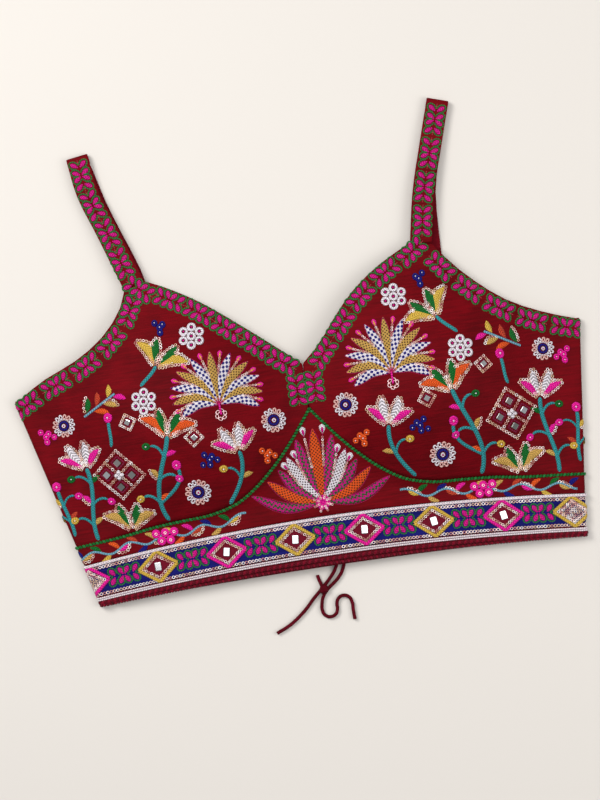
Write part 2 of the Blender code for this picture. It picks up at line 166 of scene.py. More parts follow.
BackRidges = (
    # side, from across, from up, to across, to up, rise, half width
    (-1, 40, 20, 90, 96, 1.3, 7.0),
    (-1, 110, 30, 190, 84, 1.0, 8.0),
    (-1, 150, 120, 205, 100, 1.2, 7.0),
    (1, 46, 70, 120, 34, 1.2, 7.0),
    (1, 96, 108, 168, 60, 1.0, 8.0),
    (1, 150, 140, 196, 96, 1.3, 7.0),
)


def crease_shift(points, creases):
    """How far the creases press each plan point down, in millimetres."""
    shift = np.zeros(len(points))
    for side, x0, y0, x1, y1, depth, half_width in creases:
        start, end = np.array((side * x0, y0), float), np.array((side * x1, y1), float)
        run = end - start
        along = np.clip(((points - start) @ run) / (run @ run), 0.0, 1.0)
        away = np.linalg.norm(points - start - along[:, None] * run, axis=1) / half_width
        taper = 0.45 + 0.55 * np.sin(np.pi * np.clip(along, 0.05, 0.95))
        shift += depth * taper * np.exp(-away * away)
    return shift


def cloth_shell(node, levels):
    """A smooth copy of a sewn piece's form, with creases pressed into it."""
    shell = bpy.data.objects.new(node + "_cloth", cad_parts[node].data.copy())
    bpy.context.scene.collection.objects.link(shell)
    bpy.context.view_layer.objects.active = shell
    shell.select_set(True)
    bpy.ops.object.mode_set(mode="EDIT")
    bpy.ops.mesh.select_all(action="SELECT")
    bpy.ops.mesh.remove_doubles(threshold=0.00002)
    bpy.ops.mesh.tris_convert_to_quads(face_threshold=0.9, shape_threshold=1.2)
    bpy.ops.mesh.select_all(action="DESELECT")
    bpy.ops.mesh.edges_select_sharp(sharpness=math.radians(55.0))
    bpy.ops.transform.edge_crease(value=0.75)
    bpy.ops.object.mode_set(mode="OBJECT")
    smooth = shell.modifiers.new("smooth", "SUBSURF")
    smooth.levels = smooth.render_levels = levels
    bpy.ops.object.modifier_apply(modifier="smooth")
    places = np.empty(len(shell.data.vertices) * 3)
    shell.data.vertices.foreach_get("co", places)
    places = places.reshape(-1, 3)
    plan = (places[:, :2] - (CENTRE_FRONT_X, PLAN_ZERO_Y)) / MM
    if node.startswith("back"):
        places[:, 2] += crease_shift(plan, BackRidges) * MM
    else:
        on_top = np.clip((places[:, 2] / MM - 4.0) / 2.0, 0.0, 1.0)
        places[:, 2] -= crease_shift(plan, Creases) * on_top * MM
    shell.data.vertices.foreach_set("co", places.ravel())
    shell.data.shade_smooth()
    shell.select_set(False)
    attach(shell, "root")
    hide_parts(node)
    return shell


def new_group(name, inputs, outputs):
    """An empty shader group with its named sockets, and its own input and output nodes."""
    group = bpy.data.node_groups.new(name, "ShaderNodeTree")
    for socket, kind, default in inputs:
        made = group.interface.new_socket(socket, in_out="INPUT", socket_type=kind)
        if default is not None:
            made.default_value = default
    for socket, kind in outputs:
        group.interface.new_socket(socket, in_out="OUTPUT", socket_type=kind)
    return group, group.nodes.new("NodeGroupInput"), group.nodes.new("NodeGroupOutput")


def add_node(tree, kind, settings=None, **links):
    """A node with its settings and inputs: each input is a value or another node's socket."""
    node = tree.nodes.new(kind)
    for key, value in (settings or {}).items():
        setattr(node, key, value)
    for key, value in links.items():
        socket = node.inputs[int(key[1:]) if key[1:].isdigit() else key]
        if isinstance(value, bpy.types.NodeSocket):
            tree.links.new(value, socket)
        else:
            socket.default_value = value
    return node


def maths(tree, operation, *values):
    """The result of a sum on one, two or three values or sockets."""
    inputs = {f"i{number}": value for number, value in enumerate(values)}
    return add_node(tree, "ShaderNodeMath", {"operation": operation}, **inputs).outputs[0]


# The weave: two crossed sets of yarns with slubs, for cloth that is seen on its plan.
weave, weave_in, weave_out = new_group(
    "slub_weave",
    [("Yarns", "NodeSocketFloat", 1500.0), ("Base", "NodeSocketColor", None),
     ("Deep", "NodeSocketColor", None)],
    [("Color", "NodeSocketColor"), ("Height", "NodeSocketFloat")],
)
where = add_node(weave, "ShaderNodeTexCoord").outputs["Object"]
split = add_node(weave, "ShaderNodeSeparateXYZ", i0=where)
yarns = [
    maths(weave, "SINE", maths(weave, "MULTIPLY", split.outputs[axis], weave_in.outputs["Yarns"]))
    for axis in ("X", "Y")
]
crossing = maths(weave, "MULTIPLY", *yarns)
stretched = add_node(weave, "ShaderNodeMapping", Vector=where, Scale=(60.0, 900.0, 60.0))
slub = add_node(weave, "ShaderNodeTexNoise", Vector=stretched.outputs[0], Scale=1.0, Detail=2.0)
cloud = add_node(weave, "ShaderNodeTexNoise", Vector=where, Scale=38.0, Detail=3.0)
worn = maths(weave, "ADD", slub.outputs["Fac"], cloud.outputs["Fac"])
worn_share = add_node(weave, "ShaderNodeMapRange", i0=worn, i1=0.72, i2=1.28)
shade = add_node(weave, "ShaderNodeMix", {"data_type": "RGBA"}, i0=worn_share.outputs[0],
                 i6=weave_in.outputs["Deep"], i7=weave_in.outputs["Base"])
height = maths(weave, "MULTIPLY_ADD", crossing, 0.35, slub.outputs["Fac"])
weave.links.new(shade.outputs[2], weave_out.inputs["Color"])
weave.links.new(height, weave_out.inputs["Height"])


def woven_finish(name, base, deep, sheen):
    """A woven cloth finish in two close colours."""
    finish, tree, surface = new_finish(
        name, Roughness=0.72, Sheen_Weight=sheen, Sheen_Roughness=0.4,
        Sheen_Tint=(1.0, 0.25, 0.3, 1.0), Specular_IOR_Level=0.06)
    woven = add_node(tree, "ShaderNodeGroup", {"node_tree": weave}, Base=(*base, 1.0),
                     Deep=(*deep, 1.0))
    bump = add_node(tree, "ShaderNodeBump", Height=woven.outputs["Height"], Strength=0.35,
                    Distance=0.0003)
    tree.links.new(woven.outputs["Color"], surface.inputs["Base Color"])
    tree.links.new(bump.outputs["Normal"], surface.inputs["Normal"])
    return finish


crimson_silk = woven_finish("crimson_silk", (0.140, 0.0006, 0.0035), (0.075, 0.0004, 0.002), 0.01)
plain_crimson = woven_finish("plain_crimson", (0.13, 0.001, 0.006), (0.08, 0.0006, 0.003), 0.01)
navy_silk = woven_finish("navy_silk", (0.008, 0.008, 0.12), (0.003, 0.003, 0.06), 0.01)
hem_silk = woven_finish("hem_silk", (0.10, 0.0006, 0.006), (0.04, 0.0004, 0.002), 0.01)

Cloths = (
    # pieces, levels of smoothing, finish, slot
    (("cup_left", "cup_right", "midriff"), 2, crimson_silk, "crimson_cloth"),
    (("waistband",), 2, navy_silk, "band_cloth"),
    (("hem_cord",), 2, hem_silk, "hem_cord_cloth"),
    (("strap_front_left", "strap_front_right"), 2, crimson_silk, "crimson_cloth"),
    (("strap_back_left", "strap_back_right"), 2, plain_crimson, "plain_cloth"),
    (("back_left", "back_right"), 3, plain_crimson, "plain_cloth"),
)
cloth = {}
for nodes, levels, finish, slot in Cloths:
    for node in nodes:
        cloth[node] = cloth_shell(node, levels)
        cloth[node].data.materials.clear()
        cloth[node].data.materials.append(finish)


# --- Dori strings ---------------------------------------------------------------------------
# Two tubes of the same cloth run out under the hem to a knot, and on to their free ends.
DORI_DIAMETER = 2.8
DORI_HEIGHT = 1.5
LeftString = (
    (-14.6, 79.0), (-9.0, 78.4), (-4.0, 75.0), (-1.2, 68.0), (0.4, 57.0), (2.0, 45.0),
    (3.6, 33.0), (4.8, 21.0),
    (4.6, 11.0), (1.4, 3.0), (-3.4, -3.0), (-6.9, -6.6), (-10.4, -10.0), (-14.6, -13.8), (-19.0, -17.8),
    (-25.0, -24.0), (-32.6, -30.4), (-41.0, -36.0), (-51.8, -40.8),
)
RightString = (
    (14.6, 77.0), (9.6, 76.0), (6.2, 71.6), (5.6, 63.0), (6.6, 51.0), (8.2, 38.0), (9.8, 25.0), (10.2, 12.0),
    (7.6, 2.4), (2.6, -4.4), (-2.0, -8.2), (-6.4, -11.6), (-10.9, -17.0), (-12.8, -22.4), (-13.3, -27.8),
    (-11.5, -32.1), (-7.2, -33.9), (-2.9, -32.1), (-1.1, -27.8), (-1.1, -24.6), (0.7, -20.3), (5.0, -18.5),
    (9.3, -20.3), (11.1, -24.6), (11.2, -31.4), (11.4, -38.6),
)
ShortEnd = ((-10.6, -9.4), (-11.6, -6.0), (-12.4, -3.2), (-13.2, 0.6))
dori_cloth = woven_finish("dori_cloth", (0.105, 0.001, 0.008), (0.05, 0.0006, 0.003), 0.02)


def tube_curve(name, route, diameter):
    """A round tube of cloth along a smooth curve that lies on the surface."""
    data = bpy.data.curves.new(name, "CURVE")
    data.dimensions = "3D"
    data.bevel_depth = diameter / 2.0 * MM
    data.bevel_resolution = 3
    data.use_fill_caps = True
    spline = data.splines.new("BEZIER")
    spline.bezier_points.add(len(route) - 1)
    for point, (across, up) in zip(spline.bezier_points, route):
        point.co = in_frame(across, up, DORI_HEIGHT)
        point.handle_left_type = point.handle_right_type = "AUTO"
    tube = bpy.data.objects.new(name, data)
    bpy.context.scene.collection.objects.link(tube)
    data.materials.append(dori_cloth)
    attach(tube, "root")
    return tube


left_string = tube_curve("left_string", LeftString, DORI_DIAMETER)
right_string = tube_curve("right_string", RightString, DORI_DIAMETER)
short_end = tube_curve("short_end", ShortEnd, DORI_DIAMETER)
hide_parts("dori_string_left", "dori_end_long")
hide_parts("dori_string_right", "dori_end_curled")
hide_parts("dori_end_short")

# The knot: a turn of the string round both, with a bead of cloth at its heart.
KNOT_PLACE = (-9.6, -11.4)
KNOT_SIZE = (8.4, 7.6, 5.6)
KNOT_FOLD_PITCH = 3.4
KNOT_FOLD_DEPTH = 0.16
bpy.ops.mesh.primitive_uv_sphere_add(segments=24, ring_count=14, radius=0.5)
dori_knot = bpy.context.object
dori_knot.name = dori_knot.data.name = "knot"
bpy.ops.object.mode_set(mode="EDIT")
bpy.ops.transform.resize(value=tuple(size * MM for size in KNOT_SIZE))
bpy.ops.transform.translate(value=in_frame(*KNOT_PLACE, KNOT_SIZE[2] / 2.0 + 0.1))
bpy.ops.object.mode_set(mode="OBJECT")
knot_heart = Vector(in_frame(*KNOT_PLACE, 2.9))
for vertex in dori_knot.data.vertices:
    across = (vertex.co.x - CENTRE_FRONT_X) / MM - KNOT_PLACE[0]
    up = (vertex.co.y - PLAN_ZERO_Y) / MM - KNOT_PLACE[1]
    fold = 0.5 + 0.5 * math.cos((across * 0.75 + up * 0.66) * 2.0 * math.pi / KNOT_FOLD_PITCH)
    fullness = 1.0 - KNOT_FOLD_DEPTH + KNOT_FOLD_DEPTH * fold
    vertex.co = knot_heart + (vertex.co - knot_heart) * fullness
dori_knot.data.shade_smooth()
dori_knot.data.materials.append(dori_cloth)
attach(dori_knot, "root")
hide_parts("dori_knot")


# --- Ground for the needlework --------------------------------------------------------------
# Needlework is drawn on the plan and then laid on the sewn blouse: its height is read from the
# cloth once, on a fine grid, and past a side fold the work follows the cloth round the fold.
FRONT_PIECES = (
    "cup_left", "cup_right", "midriff", "waistband", "hem_cord", "strap_front_left",
    "strap_front_right",
)
GRID_STEP = 0.001
GRID_MARGIN = Vector((0.005, 0.005, 0.0))
PROBE_HEIGHT = 0.2
LOWEST_FRONT = 0.0024
OPEN_GROUND = 0.006
SPREAD_PASSES = 6
SMOOTH_PASSES = 2
FOLD_RADIUS = 3.2
FOLD_REACH = 1.75

corners, walls = [], []
for piece in FRONT_PIECES:
    mesh = cloth[piece].data
    walls += [tuple(len(corners) + v for v in face.vertices) for face in mesh.polygons]
    corners += [v.co.copy() for v in mesh.vertices]
front_tree = BVHTree.FromPolygons(corners, walls)
grid_low, grid_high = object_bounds()[0] - GRID_MARGIN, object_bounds()[1] + GRID_MARGIN
grid_x = np.arange(grid_low.x, grid_high.x, GRID_STEP)
grid_y = np.arange(grid_low.y, grid_high.y, GRID_STEP)
ground = np.full((len(grid_y), len(grid_x)), np.nan)
for row, y in enumerate(grid_y):
    for column, x in enumerate(grid_x):
        hit = front_tree.ray_cast(Vector((x, y, PROBE_HEIGHT)), Vector((0.0, 0.0, -1.0)))[0]
        if hit is not None and hit.z > LOWEST_FRONT:
            ground[row, column] = hit.z
for _ in range(SPREAD_PASSES):
    around = np.stack([np.roll(ground, shift, axis) for axis in (0, 1) for shift in (-1, 1)])
    known = np.isfinite(around)
    mean = np.where(known, around, 0.0).sum(0) / np.maximum(known.sum(0), 1)
    ground = np.where(np.isnan(ground) & known.any(0), mean, ground)
ground = np.where(np.isnan(ground), OPEN_GROUND, ground)
for _ in range(SMOOTH_PASSES):
    ground = (ground + np.roll(ground, 1, 0) + np.roll(ground, -1, 0) + np.roll(ground, 1, 1)
              + np.roll(ground, -1, 1)) / 5.0
slope_y, slope_x = np.gradient(ground, GRID_STEP)


def read_ground(layer, x, y):
    """The value of a ground layer at each point, blended between the grid's stations."""
    across = np.clip((x - grid_x[0]) / GRID_STEP, 0, len(grid_x) - 1.001)
    along = np.clip((y - grid_y[0]) / GRID_STEP, 0, len(grid_y) - 1.001)
    i, j = across.astype(int), along.astype(int)
    a, b = across - i, along - j
    low = layer[j, i] * (1 - a) + layer[j, i + 1] * a
    high = layer[j + 1, i] * (1 - a) + layer[j + 1, i + 1] * a
    return low * (1 - b) + high * b


def widest_point(node, side):
    """Where a piece reaches furthest to one side, as across and up in millimetres."""
    best = max(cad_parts[node].data.vertices, key=lambda v: side * v.co.x).co
    return side * (best.x - CENTRE_FRONT_X) / MM, (best.y - PLAN_ZERO_Y) / MM


fold_lines = {}
for side, cup in ((-1, "cup_left"), (1, "cup_right")):
    low_across, low_up = widest_point("hem_cord", side)
    high_across, high_up = widest_point(cup, side)
    lean = (high_across - low_across) / (high_up - low_up)
    fold_lines[side] = (low_across - lean * low_up - FOLD_RADIUS, lean)


def fold_across(side, up):
    """How far from the centre front the cloth starts to turn round the side fold."""
    start, lean = fold_lines[side]
    return start + lean * up


def lay(work, lift):
    """Plan points and their lifts, laid on the blouse: positions in metres."""
    side = np.where(work[:, 0] < 0.0, -1.0, 1.0)
    start = np.where(side < 0.0, fold_lines[-1][0], fold_lines[1][0])
    lean = np.where(side < 0.0, fold_lines[-1][1], fold_lines[1][1])
    fold = start + lean * work[:, 1]
    past = np.abs(work[:, 0]) - fold
    x = work[:, 0] * MM + CENTRE_FRONT_X
    y = work[:, 1] * MM + PLAN_ZERO_Y
    over = [-read_ground(slope_x, x, y), -read_ground(slope_y, x, y), np.ones(len(x))]
    over = np.stack(over, 1)
    over /= np.linalg.norm(over, axis=1)[:, None]
    flat = np.stack([x, y, read_ground(ground, x, y)], 1) + over * lift[:, None] * MM
    turn = np.clip(past / FOLD_RADIUS, 0.0, FOLD_REACH)
    reach = FOLD_RADIUS + lift + 0.1
    folded = np.stack([
        side * (fold + reach * np.sin(turn)) * MM + CENTRE_FRONT_X,
        y,
        (FOLD_RADIUS + reach * np.cos(turn)) * MM,
    ], 1)
    return np.where((past > 0.0)[:, None], folded, flat)


# --- Threads and stamps ---------------------------------------------------------------------
# Every stitch group is worked with a few shapes: a run of thread along a line, which is also a
# satin leaf when it is wide in its middle, and small stamps such as sequins, beads and mirrors.
PINK = (0.62, 0.005, 0.22)
HOT_PINK = (0.80, 0.01, 0.30)
LEAF_GREEN = (0.004, 0.13, 0.018)
EDGE_GREEN = (0.03, 0.15, 0.035)
TEAL = (0.03, 0.27, 0.29)
GOLD = (0.66, 0.42, 0.06)
SAND = (0.58, 0.34, 0.08)
ORANGE = (0.75, 0.09, 0.012)
NAVY = (0.008, 0.006, 0.17)
WHITE = (0.78, 0.72, 0.76)
CRIMSON = (0.20, 0.003, 0.02)
needlework = {}


def add_work(group, plan, lift, faces, grain, colour):
    """Adds one shape to a group: plan points, their lifts, faces, grain map and colour."""
    parts = needlework.setdefault(
        group, {"plan": [], "lift": [], "faces": [], "grain": [], "colour": [], "count": 0})
    parts["plan"].append(plan)
    parts["lift"].append(lift)
    parts["faces"].append(faces + parts["count"])
    parts["grain"].append(grain)
    parts["colour"].append(np.tile(np.array((*colour, 1.0)), (len(plan), 1)))
    parts["count"] += len(plan)


def distances(line):
    """How far along a line each of its stations is."""
    return np.concatenate([[0.0], np.cumsum(np.linalg.norm(np.diff(line, axis=0), axis=1))])


def smooth_line(points, step=0.7):
    """A smooth line through the points, with stations a step apart in millimetres."""
    points = np.array(points, float)
    padded = np.vstack([2 * points[0] - points[1], points, 2 * points[-1] - points[-2]])
    line = []
    for i in range(len(points) - 1):
        p0, p1, p2, p3 = padded[i:i + 4]
        count = max(2, int(np.linalg.norm(p2 - p1) / 0.4))
        for t in np.arange(count) / count:
            line.append(0.5 * (2 * p1 + (p2 - p0) * t + (2 * p0 - 5 * p1 + 4 * p2 - p3) * t * t
                               + (3 * p1 - p0 - 3 * p2 + p3) * t ** 3))
    line = np.array(line + [points[-1]])
    along = distances(line)
    even = np.linspace(0.0, along[-1], max(3, int(round(along[-1] / step)) + 1))
    return np.stack([np.interp(even, along, line[:, 0]), np.interp(even, along, line[:, 1])], 1)


def headings(line):
    """Unit directions along a line, and those to its left."""
    ahead = np.gradient(line, axis=0)
    ahead /= np.maximum(np.linalg.norm(ahead, axis=1), 1e-9)[:, None]
    return ahead, np.stack([-ahead[:, 1], ahead[:, 0]], 1)


SECTION = np.array((-1.0, -0.62, 0.0, 0.62, 1.0))
SECTION_RISE = np.sqrt(1.0 - (SECTION * 0.96) ** 2)
THREAD_SINK = 0.12


def run_thread(group, line, width, crown, colour, lift=0.0):
    """A padded run of thread along a line, whose width may change along it."""
    stations = len(line)
    _, left = headings(line)
    width = np.broadcast_to(np.asarray(width, float), (stations,))
    rise = crown * np.clip(width / width.max(), 0.25, 1.0)
    plan = line[:, None, :] + left[:, None, :] * (width[:, None, None] / 2.0) * SECTION[None, :, None]
    heights = lift + rise[:, None] * SECTION_RISE[None, :] - THREAD_SINK
    heights[:, (0, 4)] = lift - THREAD_SINK
    across = (width[:, None] / 2.0) * SECTION[None, :]
    grain = np.stack([across, np.broadcast_to(distances(line)[:, None], across.shape)], 2)
    first = (np.arange(stations - 1) * 5)[:, None, None]
    strip = np.array([[[k + 1, k, k + 5, k + 6] for k in range(4)] + [[0, 4, 9, 5]]])
    faces = (strip + first).reshape(-1, 4)
    add_work(group, plan.reshape(-1, 2), heights.ravel(), faces, grain.reshape(-1, 2), colour)


def lens(stations, width, fullest=0.45, blunt=0.08):
    """Widths of a leaf along its length: pointed at both ends and fullest part way."""
    t = np.linspace(0.0, 1.0, stations)
    t = np.where(t < fullest, 0.5 * t / fullest, 0.5 + 0.5 * (t - fullest) / (1.0 - fullest))
    return width * np.maximum(np.sin(np.pi * t) ** 0.75, blunt)


def bowed_line(base, tip, bow, step=0.8):
    """A line from base to tip that bows to its left by a share of its length."""
    base, tip = np.array(base, float), np.array(tip, float)
    run = tip - base
    middle = (base + tip) / 2.0 + np.array((-run[1], run[0])) * bow
    return smooth_line((base, middle, tip), step)


def satin_leaf(base, tip, width, colour, bow=0.0, crown=0.8, edged=False):
    """A satin-stitched leaf or petal, with or without a row of sequins down its left side."""
    line = bowed_line(base, tip, bow)
    widths = lens(len(line), width)
    run_thread("satin_thread", line, widths, crown, colour)
    if edged:
        sequin_row(line + headings(line)[1] * (widths[:, None] / 2.0 + 0.9))


def new_stamp(add_form, tall, rise, bevel=0.0, **form):
    """The corners and faces of a small form, made taller and raised off the cloth."""
    add_form(**form)
    bpy.ops.object.mode_set(mode="EDIT")
    bpy.ops.transform.resize(value=(1.0, 1.0, tall))
    bpy.ops.transform.translate(value=(0.0, 0.0, rise))
    if bevel:
        bpy.ops.mesh.bevel(offset=bevel, segments=1, affect="EDGES")
    bpy.ops.object.mode_set(mode="OBJECT")
    obj = bpy.context.object
    points = np.array([v.co for v in obj.data.vertices])
    faces = np.array([
        tuple(face.vertices) if len(face.vertices) == 4 else (*face.vertices, face.vertices[-1])
        for face in obj.data.polygons
    ])
    bpy.data.objects.remove(obj, do_unlink=True)
    return points, faces


def press_stamp(group, stamp, across, up, size, colour, turn=0.0, lift=0.0, height=1.0, stretch=1.0):
    """One copy of a stamp on the plan. Stretch lengthens it along its own up direction."""
    points, faces = stamp
    x, y = points[:, 0] * size, points[:, 1] * size * stretch
    c, s = math.cos(turn), math.sin(turn)
    plan = np.stack([across + x * c - y * s, up + x * s + y * c], 1)
    add_work(group, plan, lift + points[:, 2] * height, faces, np.stack([x, y], 1), colour)


# Stamps are a millimetre or so across and are scaled as they are pressed.
SEQUIN = new_stamp(bpy.ops.mesh.primitive_torus_add, 1.3, 0.15, major_segments=9,
                   minor_segments=3, major_radius=0.37, minor_radius=0.13)
THREAD_RING = new_stamp(bpy.ops.mesh.primitive_torus_add, 5.0, 0.3, major_segments=12,
                        minor_segments=4, major_radius=0.34, minor_radius=0.16)
BEAD = new_stamp(bpy.ops.mesh.primitive_uv_sphere_add, 1.4, 0.2, segments=6, ring_count=4,
                 radius=0.5)
MIRROR = new_stamp(bpy.ops.mesh.primitive_cube_add, 0.9, 0.3, bevel=0.07, size=1.0)
chance = random.Random(11)
# Sequin colours from near white to dim brown. They are partly the sequins' own champagne colours. They are
# also painted glints for sequins that catch the light, and painted shade for sequins turned away from it.
SEQUIN_TINTS_AND_GLINTS = (
    (1.0, 0.80, 0.74), (0.90, 0.60, 0.52), (0.60, 0.26, 0.22), (0.98, 0.90, 0.86),
    (0.75, 0.50, 0.34),
)


def sequin_row(line, pitch=2.6, size=2.7, lift=0.25):
    """Overlapping pale sequins sewn in a row along a line."""
    along = distances(line)
    count = max(2, int(round(along[-1] / pitch)) + 1)
    for distance in np.linspace(0.0, along[-1], count):
        x = np.interp(distance, along, line[:, 0])
        y = np.interp(distance, along, line[:, 1])
        # Each sequin takes a random tint from the list, with painted glints and painted shade among the
        # tints.
        press_stamp("sequins", SEQUIN, x, y, size * chance.uniform(0.9, 1.08),
                    chance.choice(SEQUIN_TINTS_AND_GLINTS), lift=lift + chance.uniform(0.0, 0.12))


def bead_rope(line, pitch, size, colours, slant, lift, stretch):
    """A twisted cord laid on the cloth: slanting beads of thread, one after another."""
    ahead, _ = headings(line)
    along = distances(line)
    for number, distance in enumerate(np.arange(0.0, along[-1], pitch)):
        x, y = (np.interp(distance, along, line[:, axis]) for axis in (0, 1))
        dx, dy = (np.interp(distance, along, ahead[:, axis]) for axis in (0, 1))
        press_stamp("corded_thread", BEAD, x, y, size, colours[number % len(colours)],
                    turn=math.atan2(dy, dx) - math.pi / 2.0 + slant, lift=lift,
                    height=size * 0.62, stretch=stretch)


# --- Edge borders ---------------------------------------------------------------------------
# A chain of pink satin flowers, each petal looped with green chain stitch, runs down the
# straps, along the neckline and the armholes, and down the centre to the under-bust cord.
BORDER_INSET = 7.3
ARM_BORDER_INSET = 7.9
BORDER_REPEAT = 26.0
PETAL_WIDTH = 4.0
LOOP_GAP = 0.25
LOOP_WIDTH = 1.35
LOOP_SWEEP = (-52.0, 232.0)
STEM_RED = (0.42, 0.05, 0.06)


def looped_petal(base, tip, width=PETAL_WIDTH):
    """A satin petal with a loop of chain stitch round its outer end."""
    line = bowed_line(base, tip, 0.0, 0.9)
    run_thread("satin_thread", line, lens(len(line), width, 0.6, 0.3), 0.8, PINK, lift=0.1)
    ahead, left = (v[0] for v in headings(line))
    length = np.linalg.norm(np.array(tip) - np.array(base))
    centre = np.array(base) + ahead * length * 0.58
    margin = LOOP_GAP + LOOP_WIDTH / 2.0
    wide, long = width / 2.0 + margin, length * 0.46 + margin
    angles = np.radians(np.linspace(*LOOP_SWEEP, 11))[:, None]
    loop = centre + left * np.cos(angles) * wide + ahead * np.sin(angles) * long
    run_thread("corded_thread", loop, LOOP_WIDTH, 0.6, EDGE_GREEN)


def border_motif(centre, ahead, left):
    """One repeat: a flower of four petals, a pair of petals before and behind it, and stems."""
    def place(along, out):
        return centre + ahead * along + left * out

    for sign in (-1.0, 1.0):
        for side in (-1.0, 1.0):
            looped_petal(place(sign * 0.7, side * 0.8), place(sign * 3.9, side * 6.2))
            looped_petal(place(sign * 6.9, side * 0.9), place(sign * 10.7, side * 6.0))
    for sign in (-1.0, 1.0):
        stem = smooth_line((place(sign * 8.6, 0.0), place(sign * 12.6, 0.0)), 1.0)
        run_thread("satin_thread", stem, 0.8, 0.4, STEM_RED)


def border(line):
    """A border along a line, in whole repeats stretched a little to fit it."""
    along = distances(line)
    count = max(1, int(round(along[-1] / BORDER_REPEAT)))
    for number in range(count):
        distance = along[-1] * (number + 0.5) / count
        border_motif(*(
            np.array([np.interp(distance, along, series[:, axis]) for axis in (0, 1)])
            for series in (line, *headings(line))
        ))


def inset_line(points, inset):
    """A line beside another, moved to its left."""
    line = smooth_line(points, 2.0)
    _, left = headings(line)
    return line + left * inset


StrapLines = {
    -1: ((-154.0, 356.5), (-149.5, 328.0), (-139.0, 297.0), (-124.5, 253.0)),
    1: ((137.2, 359.4), (127.0, 327.0), (115.5, 289.0), (107.5, 254.0)),
}
NeckEdges = {
    -1: ((-115.0, 253.0), (-98.0, 244.0), (-72.0, 228.0), (-43.0, 205.0), (-21.5, 187.0),
         (-2.0, 170.0)),
    1: ((98.8, 251.0), (72.0, 237.5), (48.0, 220.0), (29.0, 199.5), (15.5, 182.5), (2.0, 170.0)),
}
ArmEdges = {
    -1: ((-131.5, 248.0), (-138.0, 232.0), (-153.0, 214.0), (-176.0, 198.5), (-208.0, 184.8),
         (-240.0, 168.5)),
    1: ((117.5, 247.0), (126.0, 234.0), (141.0, 217.0), (166.0, 196.0), (196.0, 181.0),
        (234.0, 169.0)),
}
CentreDrop = ((7.6, 156.0), (7.4, 136.5))
for side in (-1, 1):
    neck = inset_line(NeckEdges[side], BORDER_INSET * side)[6:-3:4]
    centre_drop = [(side * across, up) for across, up in CentreDrop]
    border(smooth_line([*StrapLines[side], *neck, *centre_drop], 1.0))
    border(smooth_line(inset_line(ArmEdges[side], -ARM_BORDER_INSET * side)[1::4], 1.0))


# --- Under-bust cord ------------------------------------------------------------------------
# A green cord of slanting stitches covers the seam below the cups, from side to side.
UnderBust = (
    (0.0, 133.0), (20.0, 107.5), (37.0, 89.5), (53.0, 76.0), (69.0, 66.5), (90.0, 61.0), (113.0, 59.5),
    (137.0, 57.5), (162.0, 54.0), (184.0, 50.8), (204.0, 48.5), (214.0, 47.4),
)
CORD_GREEN = ((0.006, 0.13, 0.02), (0.016, 0.20, 0.04))
SIDE_STRETCH = 12.0
STRETCHED_PAST = 180.0


def trimmed(line, side):
    """The stretch of a line that is not past the side fold's reach."""
    limit = fold_across(side, line[:, 1]) + FOLD_RADIUS * FOLD_REACH
    return line[np.abs(line[:, 0]) < limit]


for side in (-1, 1):
    route = [
        (side * (across + (SIDE_STRETCH if across > STRETCHED_PAST else 0.0)), up)
        for across, up in UnderBust
    ]
    seam = trimmed(smooth_line(route, 0.6), side)
    bead_rope(seam, 2.75, 2.5, CORD_GREEN, 0.7 * side, 0.1, 1.45)


# --- Waistband ------------------------------------------------------------------------------
# White cords edge the navy band. Inside them run rows of sequins and, in turn, diamonds with
# a mirror in each and pink flowers with green loops.
DIAMONDS = 8
DIAMOND_PITCH = 55.6
DIAMOND_SHIFT = 1.5
DIAMOND_HALF = (15.6, 12.2)
BAND_PETAL_WIDTH = 4.3
BAND_MIDDLE = 31.9
BAND_DROP = 11.75
BAND_TOP = (45.4, 12.5)
BAND_REACH = 260.0
HALF_HEM = 205.0
CORD_WHITE = ((0.80, 0.66, 0.70), (0.86, 0.78, 0.80))
WhiteCords = (
    # height and drop, pitch, size, slant, stretch
    (BAND_TOP, 2.0, 2.6, 0.55, 1.5),
    ((17.6, 11.4), 1.5, 1.6, 0.5, 1.4),
    ((15.9, 11.2), 1.5, 1.5, -0.5, 1.3),
)


def band_line(up, drop):
    """A line at this height at the centre front, that drops this much by the hem's corners."""
    across = np.arange(-BAND_REACH, BAND_REACH, 1.0)
    line = np.stack([across, up - drop * (across / HALF_HEM) ** 2], 1)
    return np.vstack([trimmed(line[across <= 0.0], -1), trimmed(line[across >= 0.0], 1)])


for height_and_drop, pitch, size, slant, stretch in WhiteCords:
    bead_rope(band_line(*height_and_drop), pitch, size, CORD_WHITE, slant, 0.35, stretch)
sequin_row(band_line(42.4, 12.3), 2.7, 2.8)
sequin_row(band_line(20.6, 11.3), 2.7, 2.8)


def band_point(across, rise=0.0):
    """A place on the band, above or below its bowed middle."""
    return np.array((across, BAND_MIDDLE + rise - BAND_DROP * (across / HALF_HEM) ** 2))


def side_lines(corners):
    """A line from each corner to the next."""
    return [smooth_line(ends, 1.0) for ends in zip(corners, corners[1:])]


def diamond_sides(across, wide, high):
    """The sides of a diamond on the band, from its left tip round."""
    steps = ((-wide, 0), (0, high), (wide, 0), (0, -high), (-wide, 0))
    return side_lines([band_point(across + dx, dy) for dx, dy in steps])


